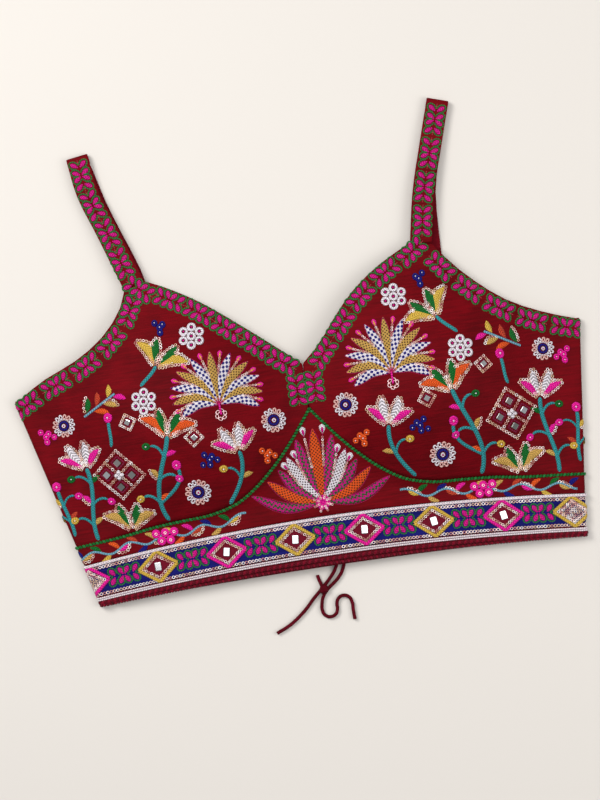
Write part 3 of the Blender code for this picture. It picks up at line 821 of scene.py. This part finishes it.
def band_diamond(across, colour, all_sequins):
    """A coloured frame with sequins in it, and a mirror on crimson or more sequins inside."""
    wide, high = DIAMOND_HALF
    for line in diamond_sides(across, wide, high):
        run_thread("satin_thread", line, 3.0, 0.9, colour, lift=0.5)
    for line in diamond_sides(across, wide * 0.76, high * 0.72):
        sequin_row(line, 2.3, 2.4, lift=0.6)
    if all_sequins:
        for share in (0.62, 0.36, 0.12):
            for line in diamond_sides(across, wide * share, high * share):
                sequin_row(line, 2.2, 2.4, lift=0.5)
        return
    ends = band_point(across - wide * 0.95), band_point(across + wide * 0.95)
    line = smooth_line(ends, 1.0)
    taper = 1.0 - np.abs(np.linspace(-1.0, 1.0, len(line)))
    run_thread("crimson_patch", line, np.maximum(taper * high * 1.9, 0.4), 0.25, CRIMSON, lift=0.15)
    # The mirror's grey is picked at random. It is a painted reflection, darker for a mirror that stands in
    # for one facing the dark.
    reflection_tone = chance.choice(((0.72, 0.72, 0.72), (0.6, 0.6, 0.6), (0.72, 0.72, 0.72), (0.25, 0.2, 0.2)))
    press_stamp("mirrors", MIRROR, *band_point(across), 4.9, reflection_tone,
                turn=chance.uniform(-0.2, 0.2), lift=0.5, stretch=1.35)


def band_flowers(across):
    """Pink petals in green loops: a flower of four between two pairs."""
    for sign in (-1, 1):
        for dy in (-1, 1):
            looped_petal(band_point(across + sign * 0.7, dy * 0.7),
                         band_point(across + sign * 3.9, dy * 6.2), BAND_PETAL_WIDTH)
            looped_petal(band_point(across + sign * 7.4, dy * 0.8),
                         band_point(across + sign * 11.0, dy * 6.0), BAND_PETAL_WIDTH)


for number in range(DIAMONDS):
    across = (number - (DIAMONDS - 1) / 2.0) * DIAMOND_PITCH + DIAMOND_SHIFT
    colour = GOLD if number % 2 else HOT_PINK
    band_diamond(across, colour, all_sequins=number in (0, DIAMONDS - 1))
    if number < DIAMONDS - 1:
        band_flowers(across + DIAMOND_PITCH / 2.0)


# --- Hem cord -------------------------------------------------------------------------------
# Dark red piping: two twisted cords side by side under the lower white cord.
CORD_RED = ((0.21, 0.002, 0.016), (0.11, 0.001, 0.008))
bead_rope(band_line(12.4, 9.8), 2.4, 3.0, CORD_RED, 0.75, 0.1, 1.5)
bead_rope(band_line(8.9, 8.2), 2.3, 2.4, CORD_RED, -0.75, 0.1, 1.4)


# --- Garden on the cups ---------------------------------------------------------------------
# Both cups carry one design, mirrored: a palm of feathers that opens upwards, vines that scroll
# up from the under-bust cord to tulips and blossoms, and a lattice with mirrors.
STEM_PINK = (0.45, 0.01, 0.10)
STEM_BLUE = (0.16, 0.36, 0.46)
FLAME = (0.85, 0.36, 0.08)
MAROON = (0.22, 0.006, 0.04)
BLUSH = (0.80, 0.47, 0.42)
RUST = (0.50, 0.05, 0.02)
LEAF_COLOURS = (GOLD, HOT_PINK, NAVY, LEAF_GREEN, ORANGE, RUST, SAND)
BUD_COLOURS = (GOLD, HOT_PINK, LEAF_GREEN)
# Greys for mirrors of one glass. These are painted reflections: the darker greys stand in for mirrors that
# face the dark.
MIRROR_REFLECTIONS = ((0.72, 0.72, 0.72), (0.40, 0.40, 0.38), (0.30, 0.31, 0.28), (0.48, 0.44, 0.41))
GOLDEN_ANGLE = 137.5
CUP_FOOT = 60.0
LEFT_CUP_RISE = 0.95


def on_cup(side, point):
    """A place on either cup, from its place on the right one: the left is wider and lower."""
    across, up = point
    if side > 0:
        return np.array((across, up))
    spread = fold_across(-1, up) / fold_across(1, up)
    return np.array((-across * spread, CUP_FOOT + (up - CUP_FOOT) * LEFT_CUP_RISE))


def polar(place, angle, reach):
    """The point at this reach from a place, along an angle in degrees."""
    angle = math.radians(angle)
    return np.array(place) + reach * np.array((math.cos(angle), math.sin(angle)))


def scroll(foot, heading, length, curl, uncurl):
    """A tendril whose bend, in degrees a millimetre, changes evenly from curl to uncurl."""
    pace = length / max(4, round(length / 2.0))
    along = np.arange(0.0, length - pace / 2.0, pace)
    turn = np.radians(heading + curl * along + (uncurl - curl) * along ** 2 / (2.0 * length))
    steps = pace * np.stack([np.cos(turn), np.sin(turn)], 1)
    return np.vstack([foot, np.array(foot) + np.cumsum(steps, axis=0)]), math.degrees(turn[-1])


def outlined_petal(line, width, group, colour, crown, fullest):
    """A filled petal along a line, with a thin thread down each side."""
    widths = lens(len(line), width, fullest, 0.05)
    run_thread(group, line, widths, crown, colour)
    _, left = headings(line)
    for sign in (-1.0, 1.0):
        edge = line + left * sign * (widths[:, None] / 2.0 + 0.1)
        run_thread("satin_thread", edge, 0.5, 0.35, STEM_PINK)


def edged_petal(side, base, tip, width, colour, bow=0.0, edges="both", group="satin_thread"):
    """A satin petal with sequins along its edges."""
    line = bowed_line(on_cup(side, base), on_cup(side, tip), bow * side)
    widths = lens(len(line), width, 0.5, 0.12)
    run_thread(group, line, widths, 0.95, colour)
    _, left = headings(line)
    for sign in (-1.0, 1.0):
        if edges == "both" or edges == ("inner" if sign * side > 0 else "outer"):
            sequin_row(line[1:] + left[1:] * sign * (widths[1:, None] / 2.0 + 0.8), 2.5, 2.5)


def end_heading(line):
    """The unit direction in which a line ends."""
    return (line[-1] - line[-3]) / np.linalg.norm(line[-1] - line[-3])


def drop(place, heading, length=6.4, width=4.2, colour=HOT_PINK, heart=FLAME):
    """A teardrop with a flame-coloured heart, its point towards the stem."""
    line = smooth_line((place - heading * length / 2.0, place + heading * length / 2.0), 0.7)
    run_thread("satin_thread", line, lens(len(line), width, 0.7, 0.2), 0.9, colour)
    line = smooth_line((place - heading * length * 0.42, place + heading * length * 0.25), 0.7)
    run_thread("satin_thread", line, lens(len(line), width * 0.38, 0.5, 0.3), 0.7, heart, lift=0.75)


# The palm: checked and netted feathers in turn, with a drop on a sequinned stem in each gap.
PALM_HEART = (68.0, 152.0)
PALM_FEATHERS = 11
PALM_SWEEP = (-12.0, 192.0)
PALM_REACH = (31.0, 13.0)
PALM_ARCH = 0.16
FEATHER_WIDTH = 8.0


def palm_line(side, share, reach_share=1.0):
    """The middle of a feather, at this share of the palm's sweep."""
    angle = PALM_SWEEP[0] + (PALM_SWEEP[1] - PALM_SWEEP[0]) * share
    reach = (PALM_REACH[0] + PALM_REACH[1] * math.sin(math.pi * share)) * reach_share
    tip = on_cup(side, polar(PALM_HEART, angle, reach))
    return bowed_line(on_cup(side, PALM_HEART), tip, PALM_ARCH * math.cos(math.pi * share) * side)


def palm(side):
    """The whole palm, with a stem and a ring of sequins below its heart."""
    for number in range(PALM_FEATHERS):
        group, colour = (("check_thread", WHITE), ("net_thread", SAND))[number % 2]
        line = palm_line(side, number / (PALM_FEATHERS - 1))
        outlined_petal(line, FEATHER_WIDTH, group, colour, 0.9, 0.6)
        if number < PALM_FEATHERS - 1:
            stem = palm_line(side, (number + 0.5) / (PALM_FEATHERS - 1), 0.94)
            run_thread("satin_thread", stem, 0.7, 0.4, STEM_PINK)
            sequin_row(stem[int(len(stem) * 0.6):int(len(stem) * 0.92)], 2.1, 2.0, lift=0.5)
            drop(stem[-1], end_heading(stem))
    heart, head = on_cup(side, PALM_HEART), on_cup(side, polar(PALM_HEART, -90.0, 9.0))
    for petal in range(6):
        place = polar(head, 60.0 * petal + 15.0, 3.3)
        press_stamp("sequins", SEQUIN, *place, 3.0, (0.9, 0.6, 0.6),
                    math.radians(60.0 * petal), 0.4, stretch=1.4)
    run_thread("satin_thread", smooth_line((heart, head), 0.7), 1.6, 0.9, HOT_PINK, lift=0.8)


def tulip(side, foot, heading, colour, size):
    """Two outer petals that turn outwards and two green leaves between them."""
    for sign in (-1.0, 1.0):
        petal_tip = polar(foot, heading + sign * 56.0, 28.0 * size)
        leaf_tip = polar(foot, heading + sign * 19.0, 26.5 * size)
        edged_petal(side, polar(foot, heading + sign * 56.0, 2.0), petal_tip, 8.4, colour,
                    -0.17 * sign)
        edged_petal(side, polar(foot, heading + sign * 19.0, 3.0), leaf_tip, 8.2, LEAF_GREEN,
                    0.07 * sign)


def blossom(side, foot, heading):
    """Two ridged white petals between two pink ones."""
    for sign in (-1.0, 1.0):
        edged_petal(side, polar(foot, heading + sign * 56.0, 2.6),
                    polar(foot, heading + sign * 52.0, 22.0), 6.8, HOT_PINK, -0.10 * sign)
        edged_petal(side, polar(foot, heading + sign * 17.0, 2.6),
                    polar(foot, heading + sign * 17.0, 24.0), 7.8, WHITE, 0.06 * sign,
                    group="ridged_thread")


def thread_circle(group, centre, radius, width, crown, colour, lift):
    """A closed ring of thread."""
    angles = np.linspace(0.0, 2.0 * math.pi, max(12, int(radius * 5)))
    ring = np.array(centre) + radius * np.stack([np.cos(angles), np.sin(angles)], 1)
    run_thread(group, ring, width, crown, colour, lift=lift)


def rosette(side, place, radius):
    """White and blush loops round a navy ring with a white eye."""
    centre = on_cup(side, place)
    loops = 14
    for loop in range(loops):
        angle = 360.0 * loop / loops
        place = polar(centre, angle, radius * 0.80)
        press_stamp("corded_thread", THREAD_RING, *place, radius * 0.36,
                    BLUSH if (loop // 2) % 2 else WHITE, math.radians(angle - 90.0), 0.1, 0.7, 1.35)
    thread_circle("corded_thread", centre, radius * 0.56, 0.7, 0.5, WHITE, 0.1)
    thread_circle("satin_thread", centre, radius * 0.36, radius * 0.22, 1.0, NAVY, 0.2)
    press_stamp("corded_thread", THREAD_RING, *centre, radius * 0.36, WHITE, 0.0, 0.5, 0.9)
    press_stamp("satin_thread", BEAD, *centre, radius * 0.12, PINK, 0.0, 0.7)


def white_flower(side, place):
    """Six white thread rings round a seventh, each with a pink stitch in it."""
    centre = on_cup(side, place)
    for ring in range(7):
        angle = 60.0 * ring + 82.0
        x, y = polar(centre, angle, 7.2 if ring < 6 else 0.0)
        turn = math.radians(angle)
        press_stamp("corded_thread", THREAD_RING, x, y, 7.4, WHITE, turn, 0.1, 1.25)
        press_stamp("satin_thread", BEAD, x, y, 1.4, PINK, turn, 0.3, stretch=1.5)


def bud(side, place, colour, size=6.2, heading=90.0):
    """A thread ring filled with the same colour, with a pale stitch at its heart."""
    x, y = on_cup(side, place)
    turn = math.radians(heading - 90.0) * side
    press_stamp("corded_thread", THREAD_RING, x, y, size, colour, turn, 0.1, 1.2, 1.15)
    press_stamp("corded_thread", BEAD, x, y, size * 0.55, colour, turn, 0.1, 1.1)
    press_stamp("satin_thread", BEAD, x, y, size * 0.16, WHITE, turn, 0.9, stretch=1.8)


def cluster(side, place, colour, count):
    """Buds packed round one another."""
    for number in range(count):
        spot = polar(place, GOLDEN_ANGLE * number, 3.1 * math.sqrt(number))
        bud(side, spot, colour, 5.6 - 0.2 * number)


def lattice(side, heart, half, turn):
    """Crossed rows of sequins, with a mirror in a maroon frame in each of four openings."""
    rise, fall = polar((0, 0), turn, half), polar((0, 0), turn - 90.0, half)
    heart = np.array(heart)
    for step in (-1.0, 0.0, 1.0):
        for edge, other in ((rise, fall), (fall, rise)):
            ends = [on_cup(side, heart + other * step + edge * reach) for reach in (-1.0, 1.0)]
            sequin_row(smooth_line(ends, 1.0), 2.6, 2.6)
    openings = ((0.5, 0.5), (-0.5, -0.5), (-0.5, 0.5), (0.5, -0.5))
    # Each mirror takes its painted reflection grey in turn.
    for reflection_tone, (along, aside) in zip(MIRROR_REFLECTIONS, openings):
        middle = heart + rise * along + fall * aside
        frame_corners = [on_cup(side, middle + (rise * a + fall * b) * 0.26)
                         for a, b in ((1, 1), (1, -1), (-1, -1), (-1, 1), (1, 1))]
        for line in side_lines(frame_corners):
            run_thread("satin_thread", line, 1.5, 0.5, MAROON)
        press_stamp("mirrors", MIRROR, *on_cup(side, middle), 4.6, reflection_tone,
                    math.radians(turn) * side, 0.4)
    for angle in (0.0, 90.0, 180.0, 270.0):
        x, y = polar(on_cup(side, heart), angle, 2.1)
        press_stamp("corded_thread", BEAD, x, y, 3.4, WHITE, math.radians(angle - 90.0), 0.5, 2.4,
                    1.2)


def sequin_diamond(side, place, half, turn):
    """A small diamond of sequins round a framed mirror."""
    centre = on_cup(side, place)
    tips = [polar(centre, turn * side + 90.0 * k, half) for k in range(5)]
    for start, end in zip(tips, tips[1:]):
        sequin_row(smooth_line((start, end), 1.0), 2.0, 2.3)
        halfway = smooth_line(((centre + start) / 2.0, (centre + end) / 2.0), 1.0)
        run_thread("satin_thread", halfway, 1.1, 0.4, MAROON)
    press_stamp("mirrors", MIRROR, *centre, 3.8, (0.66, 0.66, 0.64),
                math.radians(turn + 45.0) * side, 0.5)


def sprig(side, foot, heading, length, curl, first_colour):
    """A stem with slim leaves on both sides, every third one edged with sequins."""
    stem, _ = scroll(foot, heading, length, curl, -curl)
    line = smooth_line([on_cup(side, point) for point in stem])
    run_thread("vine_thread", line, 2.1, 0.8, STEM_BLUE)
    count = int(length / 4.6)
    for number in range(count):
        place = stem[int((number + 0.6) / count * (len(stem) - 1))]
        aside = 46.0 if number % 2 else -46.0
        leaf = 15.0 - 4.0 * number / count
        colour = LEAF_COLOURS[(number + first_colour) % len(LEAF_COLOURS)]
        edged_petal(side, polar(place, heading + aside, 2.0), polar(place, heading + aside, leaf),
                    5.2, colour, -0.08 if number % 2 else 0.08,
                    edges="outer" if number % 3 == 0 else "")


def vine(side, foot, heading, length, curl, uncurl, width, tendrils):
    """A teal vine with curling tendrils on both sides in turn, each with a bud at its end."""
    stem, last_heading = scroll(foot, heading, length, curl, uncurl)
    branches = [(width, stem)]
    for number in range(tendrils):
        at = int((number + 0.8) / (tendrils + 0.6) * (len(stem) - 1))
        run = stem[at + 1] - stem[at]
        run_heading = math.degrees(math.atan2(run[1], run[0]))
        sign = 1.0 if number % 2 else -1.0
        tendril, out = scroll(stem[at], run_heading + 34.0 * sign, 15.0, 1.0 * sign, 12.0 * sign)
        branches.append((width * 0.62, tendril))
        opposite = run_heading - 48.0 * sign
        leaf_colour = LEAF_COLOURS[(number * 2 + round(length)) % len(LEAF_COLOURS)]
        edged_petal(side, polar(stem[at], opposite, 1.6), polar(stem[at], opposite, 11.0), 4.6,
                    leaf_colour, 0.1 * sign, edges="outer" if number == 1 else "")
        bud(side, polar(tendril[-1], out, 3.4), BUD_COLOURS[number % len(BUD_COLOURS)], 6.0, out)
    for broad, points in branches:
        line = smooth_line([on_cup(side, point) for point in points])
        to_end = np.minimum(np.arange(len(line)), np.arange(len(line))[::-1])
        run_thread("vine_thread", line, broad * np.clip(to_end / 4.0 + 0.45, 0.0, 1.0), 0.95, TEAL)
    return stem[-1], last_heading


Vines = (
    # foot across, foot up, heading, length, curl, uncurl, width, tendrils, what it bears
    (76.0, 68.0, 130.0, 48.0, -0.3, -2.0, 3.6, 1, "blossom"),
    (128.0, 62.0, 66.0, 74.0, 2.0, -1.0, 4.0, 3, "orange tulip"),
    (132.0, 76.0, 140.0, 38.0, 1.4, -5.0, 3.1, 0, "bud"),
    (190.0, 54.0, 84.0, 62.0, 1.4, -1.6, 3.8, 3, "blossom"),
    (208.0, 60.0, 98.0, 40.0, -1.6, 1.4, 3.2, 2, "bud"),
    (124.0, 176.0, 136.0, 21.0, 1.2, -3.0, 3.2, 0, "gold tulip"),
    (158.0, 130.0, 108.0, 21.0, -2.6, 2.2, 3.0, 0, "bud"),
)
TulipColours = {"orange tulip": ORANGE, "gold tulip": GOLD}
for side in (-1, 1):
    palm(side)
    for *route, bears in Vines:
        foot_across, foot_up, *shape = route
        end, heading = vine(side, (foot_across, foot_up), *shape)
        if bears == "bud":
            bud(side, polar(end, heading, 3.4), HOT_PINK, 7.4, heading)
        elif bears == "blossom":
            blossom(side, polar(end, heading, -1.0), heading)
        else:
            tulip(side, polar(end, heading, -1.5), heading, TulipColours[bears], 0.92)
    tulip(side, (160.0, 58.0), 94.0, SAND, 0.9)
    lattice(side, (157.5, 106.0), 14.5, 52.0)
    sequin_diamond(side, (92.0, 128.0), 6.8, 8.0)
    sequin_diamond(side, (140.0, 148.0), 6.4, -12.0)
    sprig(side, (173.0, 158.0), 152.0, 32.0, -0.1, 3)
    for place, radius in (((99.0, 82.0), 10.2), ((29.0, 132.0), 9.6), ((191.0, 153.0), 9.0)):
        rosette(side, place, radius)
    for place in ((124.0, 163.0), (79.0, 211.0)):
        white_flower(side, place)
    cluster(side, (84.0, 108.0), NAVY, 6)
    cluster(side, (207.0, 146.0), HOT_PINK, 5)
    cluster(side, (101.0, 222.0), NAVY, 4)
    cluster(side, (39.0, 104.0), ORANGE, 5)


# --- Strip under the bust cord --------------------------------------------------------------
# Between the green cord and the band a thin vine runs out in even waves, with small leaves on
# both sides in turn, and two rows of pink berries part way along.
STRIP_RUN = (62.0, 204.0)
STRIP_WAVE = 30.0
STRIP_SWING = 2.6
BERRY_PITCH = 7.2
BERRY_PLACE = 128.0


def strip_middle(across):
    """Midway between the green cord and the band's upper white cord."""
    seam = np.interp(across, *zip(*UnderBust))
    return (seam + BAND_TOP[0] - BAND_TOP[1] * (across / HALF_HEM) ** 2) / 2.0


for side in (-1, 1):
    across = np.arange(*STRIP_RUN, 2.0)
    wave = strip_middle(across) + STRIP_SWING * np.sin(2.0 * math.pi * across / STRIP_WAVE)
    run_thread("vine_thread", smooth_line(np.stack([side * across, wave], 1)), 2.1, 0.8, STEM_BLUE)
    feet = np.arange(STRIP_RUN[0] + 6.0, STRIP_RUN[1] - 8.0, STRIP_WAVE / 4.0)
    for number, foot_across in enumerate(feet):
        upwards = 1.0 if number % 2 else -1.0
        foot = np.array((side * foot_across, np.interp(foot_across, across, wave)))
        tip = foot + np.array((side * 9.0, upwards * 5.6))
        satin_leaf(foot, tip, 4.4, LEAF_COLOURS[(number * 3) % len(LEAF_COLOURS)],
                   0.1 * upwards * side, edged=number % 4 == 0)
    for row, count in ((0, 3), (1, 2)):
        for berry in range(count):
            berry_across = BERRY_PLACE + (berry - (count - 1) / 2.0) * BERRY_PITCH
            berry_up = strip_middle(BERRY_PLACE) + 3.0 - row * BERRY_PITCH * 0.85
            place = (side * berry_across, berry_up)
            press_stamp("corded_thread", THREAD_RING, *place, 7.4, HOT_PINK, 0.0, 0.1, 1.5)
            press_stamp("corded_thread", BEAD, *place, 4.6, HOT_PINK, 0.0, 0.1, 1.8)
            press_stamp("sequins", SEQUIN, *place, 2.6, (1.0, 0.85, 0.8), 0.0, 1.6)


# --- Lotus ----------------------------------------------------------------------------------
# A wide lotus fans out evenly in the peak between the cups: netted and mottled petals in turn,
# with drops on sequinned stems in the upper gaps and a round pink flower at its foot.
LOTUS_FOOT = np.array((0.0, 58.0))
LOTUS_STEP = 15.4
LOTUS_CLEAR = 5.5
LOTUS_REACH = 59.0
LotusWork = (
    # from the middle petal out to either side
    ("net_thread", ORANGE), ("mottle_thread", PINK), ("net_thread", WHITE),
    ("mottle_thread", PINK), ("net_thread", ORANGE), ("mottle_thread", PINK),
)


def lotus_line(place, clear=LOTUS_CLEAR):
    """The middle of a petal, counted from the centre to either side, up to the green cord."""
    seam = np.array(UnderBust) - LOTUS_FOOT
    bearings = np.degrees(np.arctan2(seam[:, 1], seam[:, 0]))[::-1]
    to_seam = np.interp(90.0 - abs(place) * LOTUS_STEP, bearings, np.linalg.norm(seam, axis=1)[::-1])
    reach = min(to_seam - clear, LOTUS_REACH)
    tip = polar(LOTUS_FOOT, 90.0 - place * LOTUS_STEP, reach)
    return bowed_line(LOTUS_FOOT, tip, -0.025 * place)


for place in (-5, 5, -4, 4, -3, 3, -2, 2, -1, 1, 0):
    group, colour = LotusWork[abs(place)]
    width, crown = 11.4 - 0.6 * abs(place), 0.9 if place else 1.3
    outlined_petal(lotus_line(place), width, group, colour, crown, 0.58)
for place in (-2.5, -1.5, -0.5, 0.5, 1.5, 2.5):
    stem = lotus_line(place, 9.0)
    stem = stem[int(len(stem) * 0.5):]
    run_thread("satin_thread", stem, 0.8, 0.5, STEM_PINK, lift=0.6)
    sequin_row(stem[:int(len(stem) * 0.8)], 2.2, 2.1, lift=1.0)
    drop(stem[-1], end_heading(stem), 7.6, 5.6, WHITE, PINK)
for petal in range(8):
    tip = polar(LOTUS_FOOT, 45.0 * petal + 22.5, 7.4)
    satin_leaf(LOTUS_FOOT, tip, 6.2, HOT_PINK if petal % 2 else PINK, crown=1.2)
    sequin_row(smooth_line(((LOTUS_FOOT + tip) / 2.0, tip), 1.0), 2.4, 2.0, lift=1.1)


# --- Joining the needlework -----------------------------------------------------------------
# Each kind of thread, the sequins and the mirrors become one mesh each, laid on the cloth.


def thread_finish(name, roughness, pitch, slant, groove_shade=0.5, depth=0.0004):
    """A thread finish: its colour comes with the mesh, and fine stitches follow its grain, with painted
    shade in their grooves and a painted highlight on their crests.
    """
    finish, tree, surface = new_finish(
        name, Roughness=roughness, Sheen_Weight=0.02, Specular_IOR_Level=0.12)
    colour = add_node(tree, "ShaderNodeAttribute", {"attribute_name": "thread_colour"})
    grain = add_node(tree, "ShaderNodeUVMap", {"uv_map": "grain"}).outputs["UV"]
    axes = add_node(tree, "ShaderNodeSeparateXYZ", i0=grain)
    aside = maths(tree, "ABSOLUTE", axes.outputs["X"])
    along = maths(tree, "MULTIPLY_ADD", aside, slant, axes.outputs["Y"])
    stitch = maths(tree, "SINE", maths(tree, "MULTIPLY", along, 2 * math.pi / pitch))
    # The thread colour is scaled from its lowest level up to 1.2 times. This is partly a random ply tone. It
    # is also painted shade in the grooves between stitches and a painted highlight on their crests, because
    # the scale follows the stitch bump.
    ply = add_node(tree, "ShaderNodeTexNoise", Vector=grain, Scale=1.1, Detail=1.0)
    blend = maths(tree, "MULTIPLY_ADD", ply.outputs["Fac"], 3.0, stitch)
    share = add_node(tree, "ShaderNodeMapRange", i0=blend, i1=0.2, i2=2.8, i3=groove_shade, i4=1.2)
    stitch_shaded_colour = add_node(tree, "ShaderNodeVectorMath", {"operation": "SCALE"},
                    i0=colour.outputs["Color"], Scale=share.outputs[0])
    bump = add_node(tree, "ShaderNodeBump", Height=stitch, Strength=0.8, Distance=depth)
    tree.links.new(stitch_shaded_colour.outputs[0], surface.inputs["Base Color"])
    tree.links.new(bump.outputs["Normal"], surface.inputs["Normal"])
    return finish


def hard_finish(name, roughness, metallic):
    """A shiny finish for sequins and mirrors, tinted piece by piece: the tints carry painted glints on the
    sequins and painted reflections on the mirrors.
    """
    finish, tree, surface = new_finish(name, Roughness=roughness, Metallic=metallic)
    colour = add_node(tree, "ShaderNodeAttribute", {"attribute_name": "thread_colour"})
    tree.links.new(colour.outputs["Color"], surface.inputs["Base Color"])
    return finish


def patterned(finish, waves, cut, soft, pattern_colour):
    """Works a second colour over a thread finish, in spots where crossed waves meet."""
    tree = finish.node_tree
    base = tree.nodes["Principled BSDF"].inputs["Base Color"]
    grain = add_node(tree, "ShaderNodeUVMap", {"uv_map": "grain"}).outputs["UV"]
    total = 0.0
    for across_share, along_share, pitch in waves:
        place = add_node(tree, "ShaderNodeVectorMath", {"operation": "DOT_PRODUCT"}, i0=grain,
                         i1=(across_share, along_share, 0.0))
        phase = maths(tree, "MULTIPLY", place.outputs["Value"], 2 * math.pi / pitch)
        total = maths(tree, "ADD", total, maths(tree, "COSINE", phase))
    mask = add_node(tree, "ShaderNodeMapRange", i0=total, i1=cut - soft, i2=cut + soft,
                    i3=0.0, i4=1.0)
    mixed = add_node(tree, "ShaderNodeMix", {"data_type": "RGBA"}, i0=mask.outputs[0],
                     i6=base.links[0].from_socket, i7=(*pattern_colour, 1.0))
    tree.links.new(mixed.outputs[2], base)
    return finish


finishes = {
    "check_thread": patterned(
        thread_finish("checked_stitch", 0.55, 0.8, 0.3, 0.8),
        ((0.45, 0.9, 3.3), (0.95, -0.35, 2.9)), 0.15, 0.25, (0.008, 0.006, 0.16)),
    "net_thread": patterned(
        thread_finish("netted_stitch", 0.55, 0.8, 0.0, 0.8),
        ((0.7, 0.7, 2.0), (0.7, -0.7, 2.0)), 0.6, 0.3, (0.04, 0.012, 0.006)),
    "mottle_thread": patterned(
        thread_finish("mottled_stitch", 0.55, 0.8, 0.5),
        ((0.8, 0.6, 2.3), (0.5, -0.9, 2.9), (1.0, 0.1, 4.1)), 0.2, 0.25, (0.02, 0.09, 0.02)),
    "ridged_thread": thread_finish("ridged_stitch", 0.55, 2.7, 0.8, 0.25, depth=0.0006),
    "satin_thread": thread_finish("satin_stitch", 0.55, 1.9, 0.9, 0.4),
    "corded_thread": thread_finish("chain_stitch", 0.65, 1.7, 0.5, 0.5),
    "vine_thread": thread_finish("vine_stitch", 0.65, 2.1, 1.1, 0.42),
    "crimson_patch": thread_finish("crimson_couching", 0.7, 0.8, 0.2),
    "sequins": hard_finish("champagne_sequin", 0.28, 0.35),
    "mirrors": hard_finish("mirror_glass", 0.08, 0.9),
}


def join_needlework(group):
    """One mesh from all the shapes of a group, with its colours and its grain map."""
    parts = needlework[group]
    plan, lift = np.vstack(parts["plan"]), np.concatenate(parts["lift"])
    faces = np.vstack(parts["faces"])
    grain, colours = np.vstack(parts["grain"]), np.vstack(parts["colour"])
    mesh = bpy.data.meshes.new(group)
    outlines = [tuple(dict.fromkeys(face)) for face in faces.tolist()]
    mesh.from_pydata(lay(plan, lift).tolist(), [], outlines)
    colour = mesh.attributes.new("thread_colour", "FLOAT_COLOR", "POINT")
    colour.data.foreach_set("color", colours.ravel())
    uv = mesh.uv_layers.new(name="grain")
    owners = np.empty(len(mesh.loops), int)
    mesh.loops.foreach_get("vertex_index", owners)
    uv.data.foreach_set("uv", grain[owners].ravel())
    if group == "mirrors":
        mesh.shade_flat()
    else:
        mesh.shade_smooth()
    work = bpy.data.objects.new(group, mesh)
    work.data.materials.append(finishes[group])
    bpy.context.scene.collection.objects.link(work)
    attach(work, "root")
    return work


stitched = [join_needlework(group) for group in needlework]
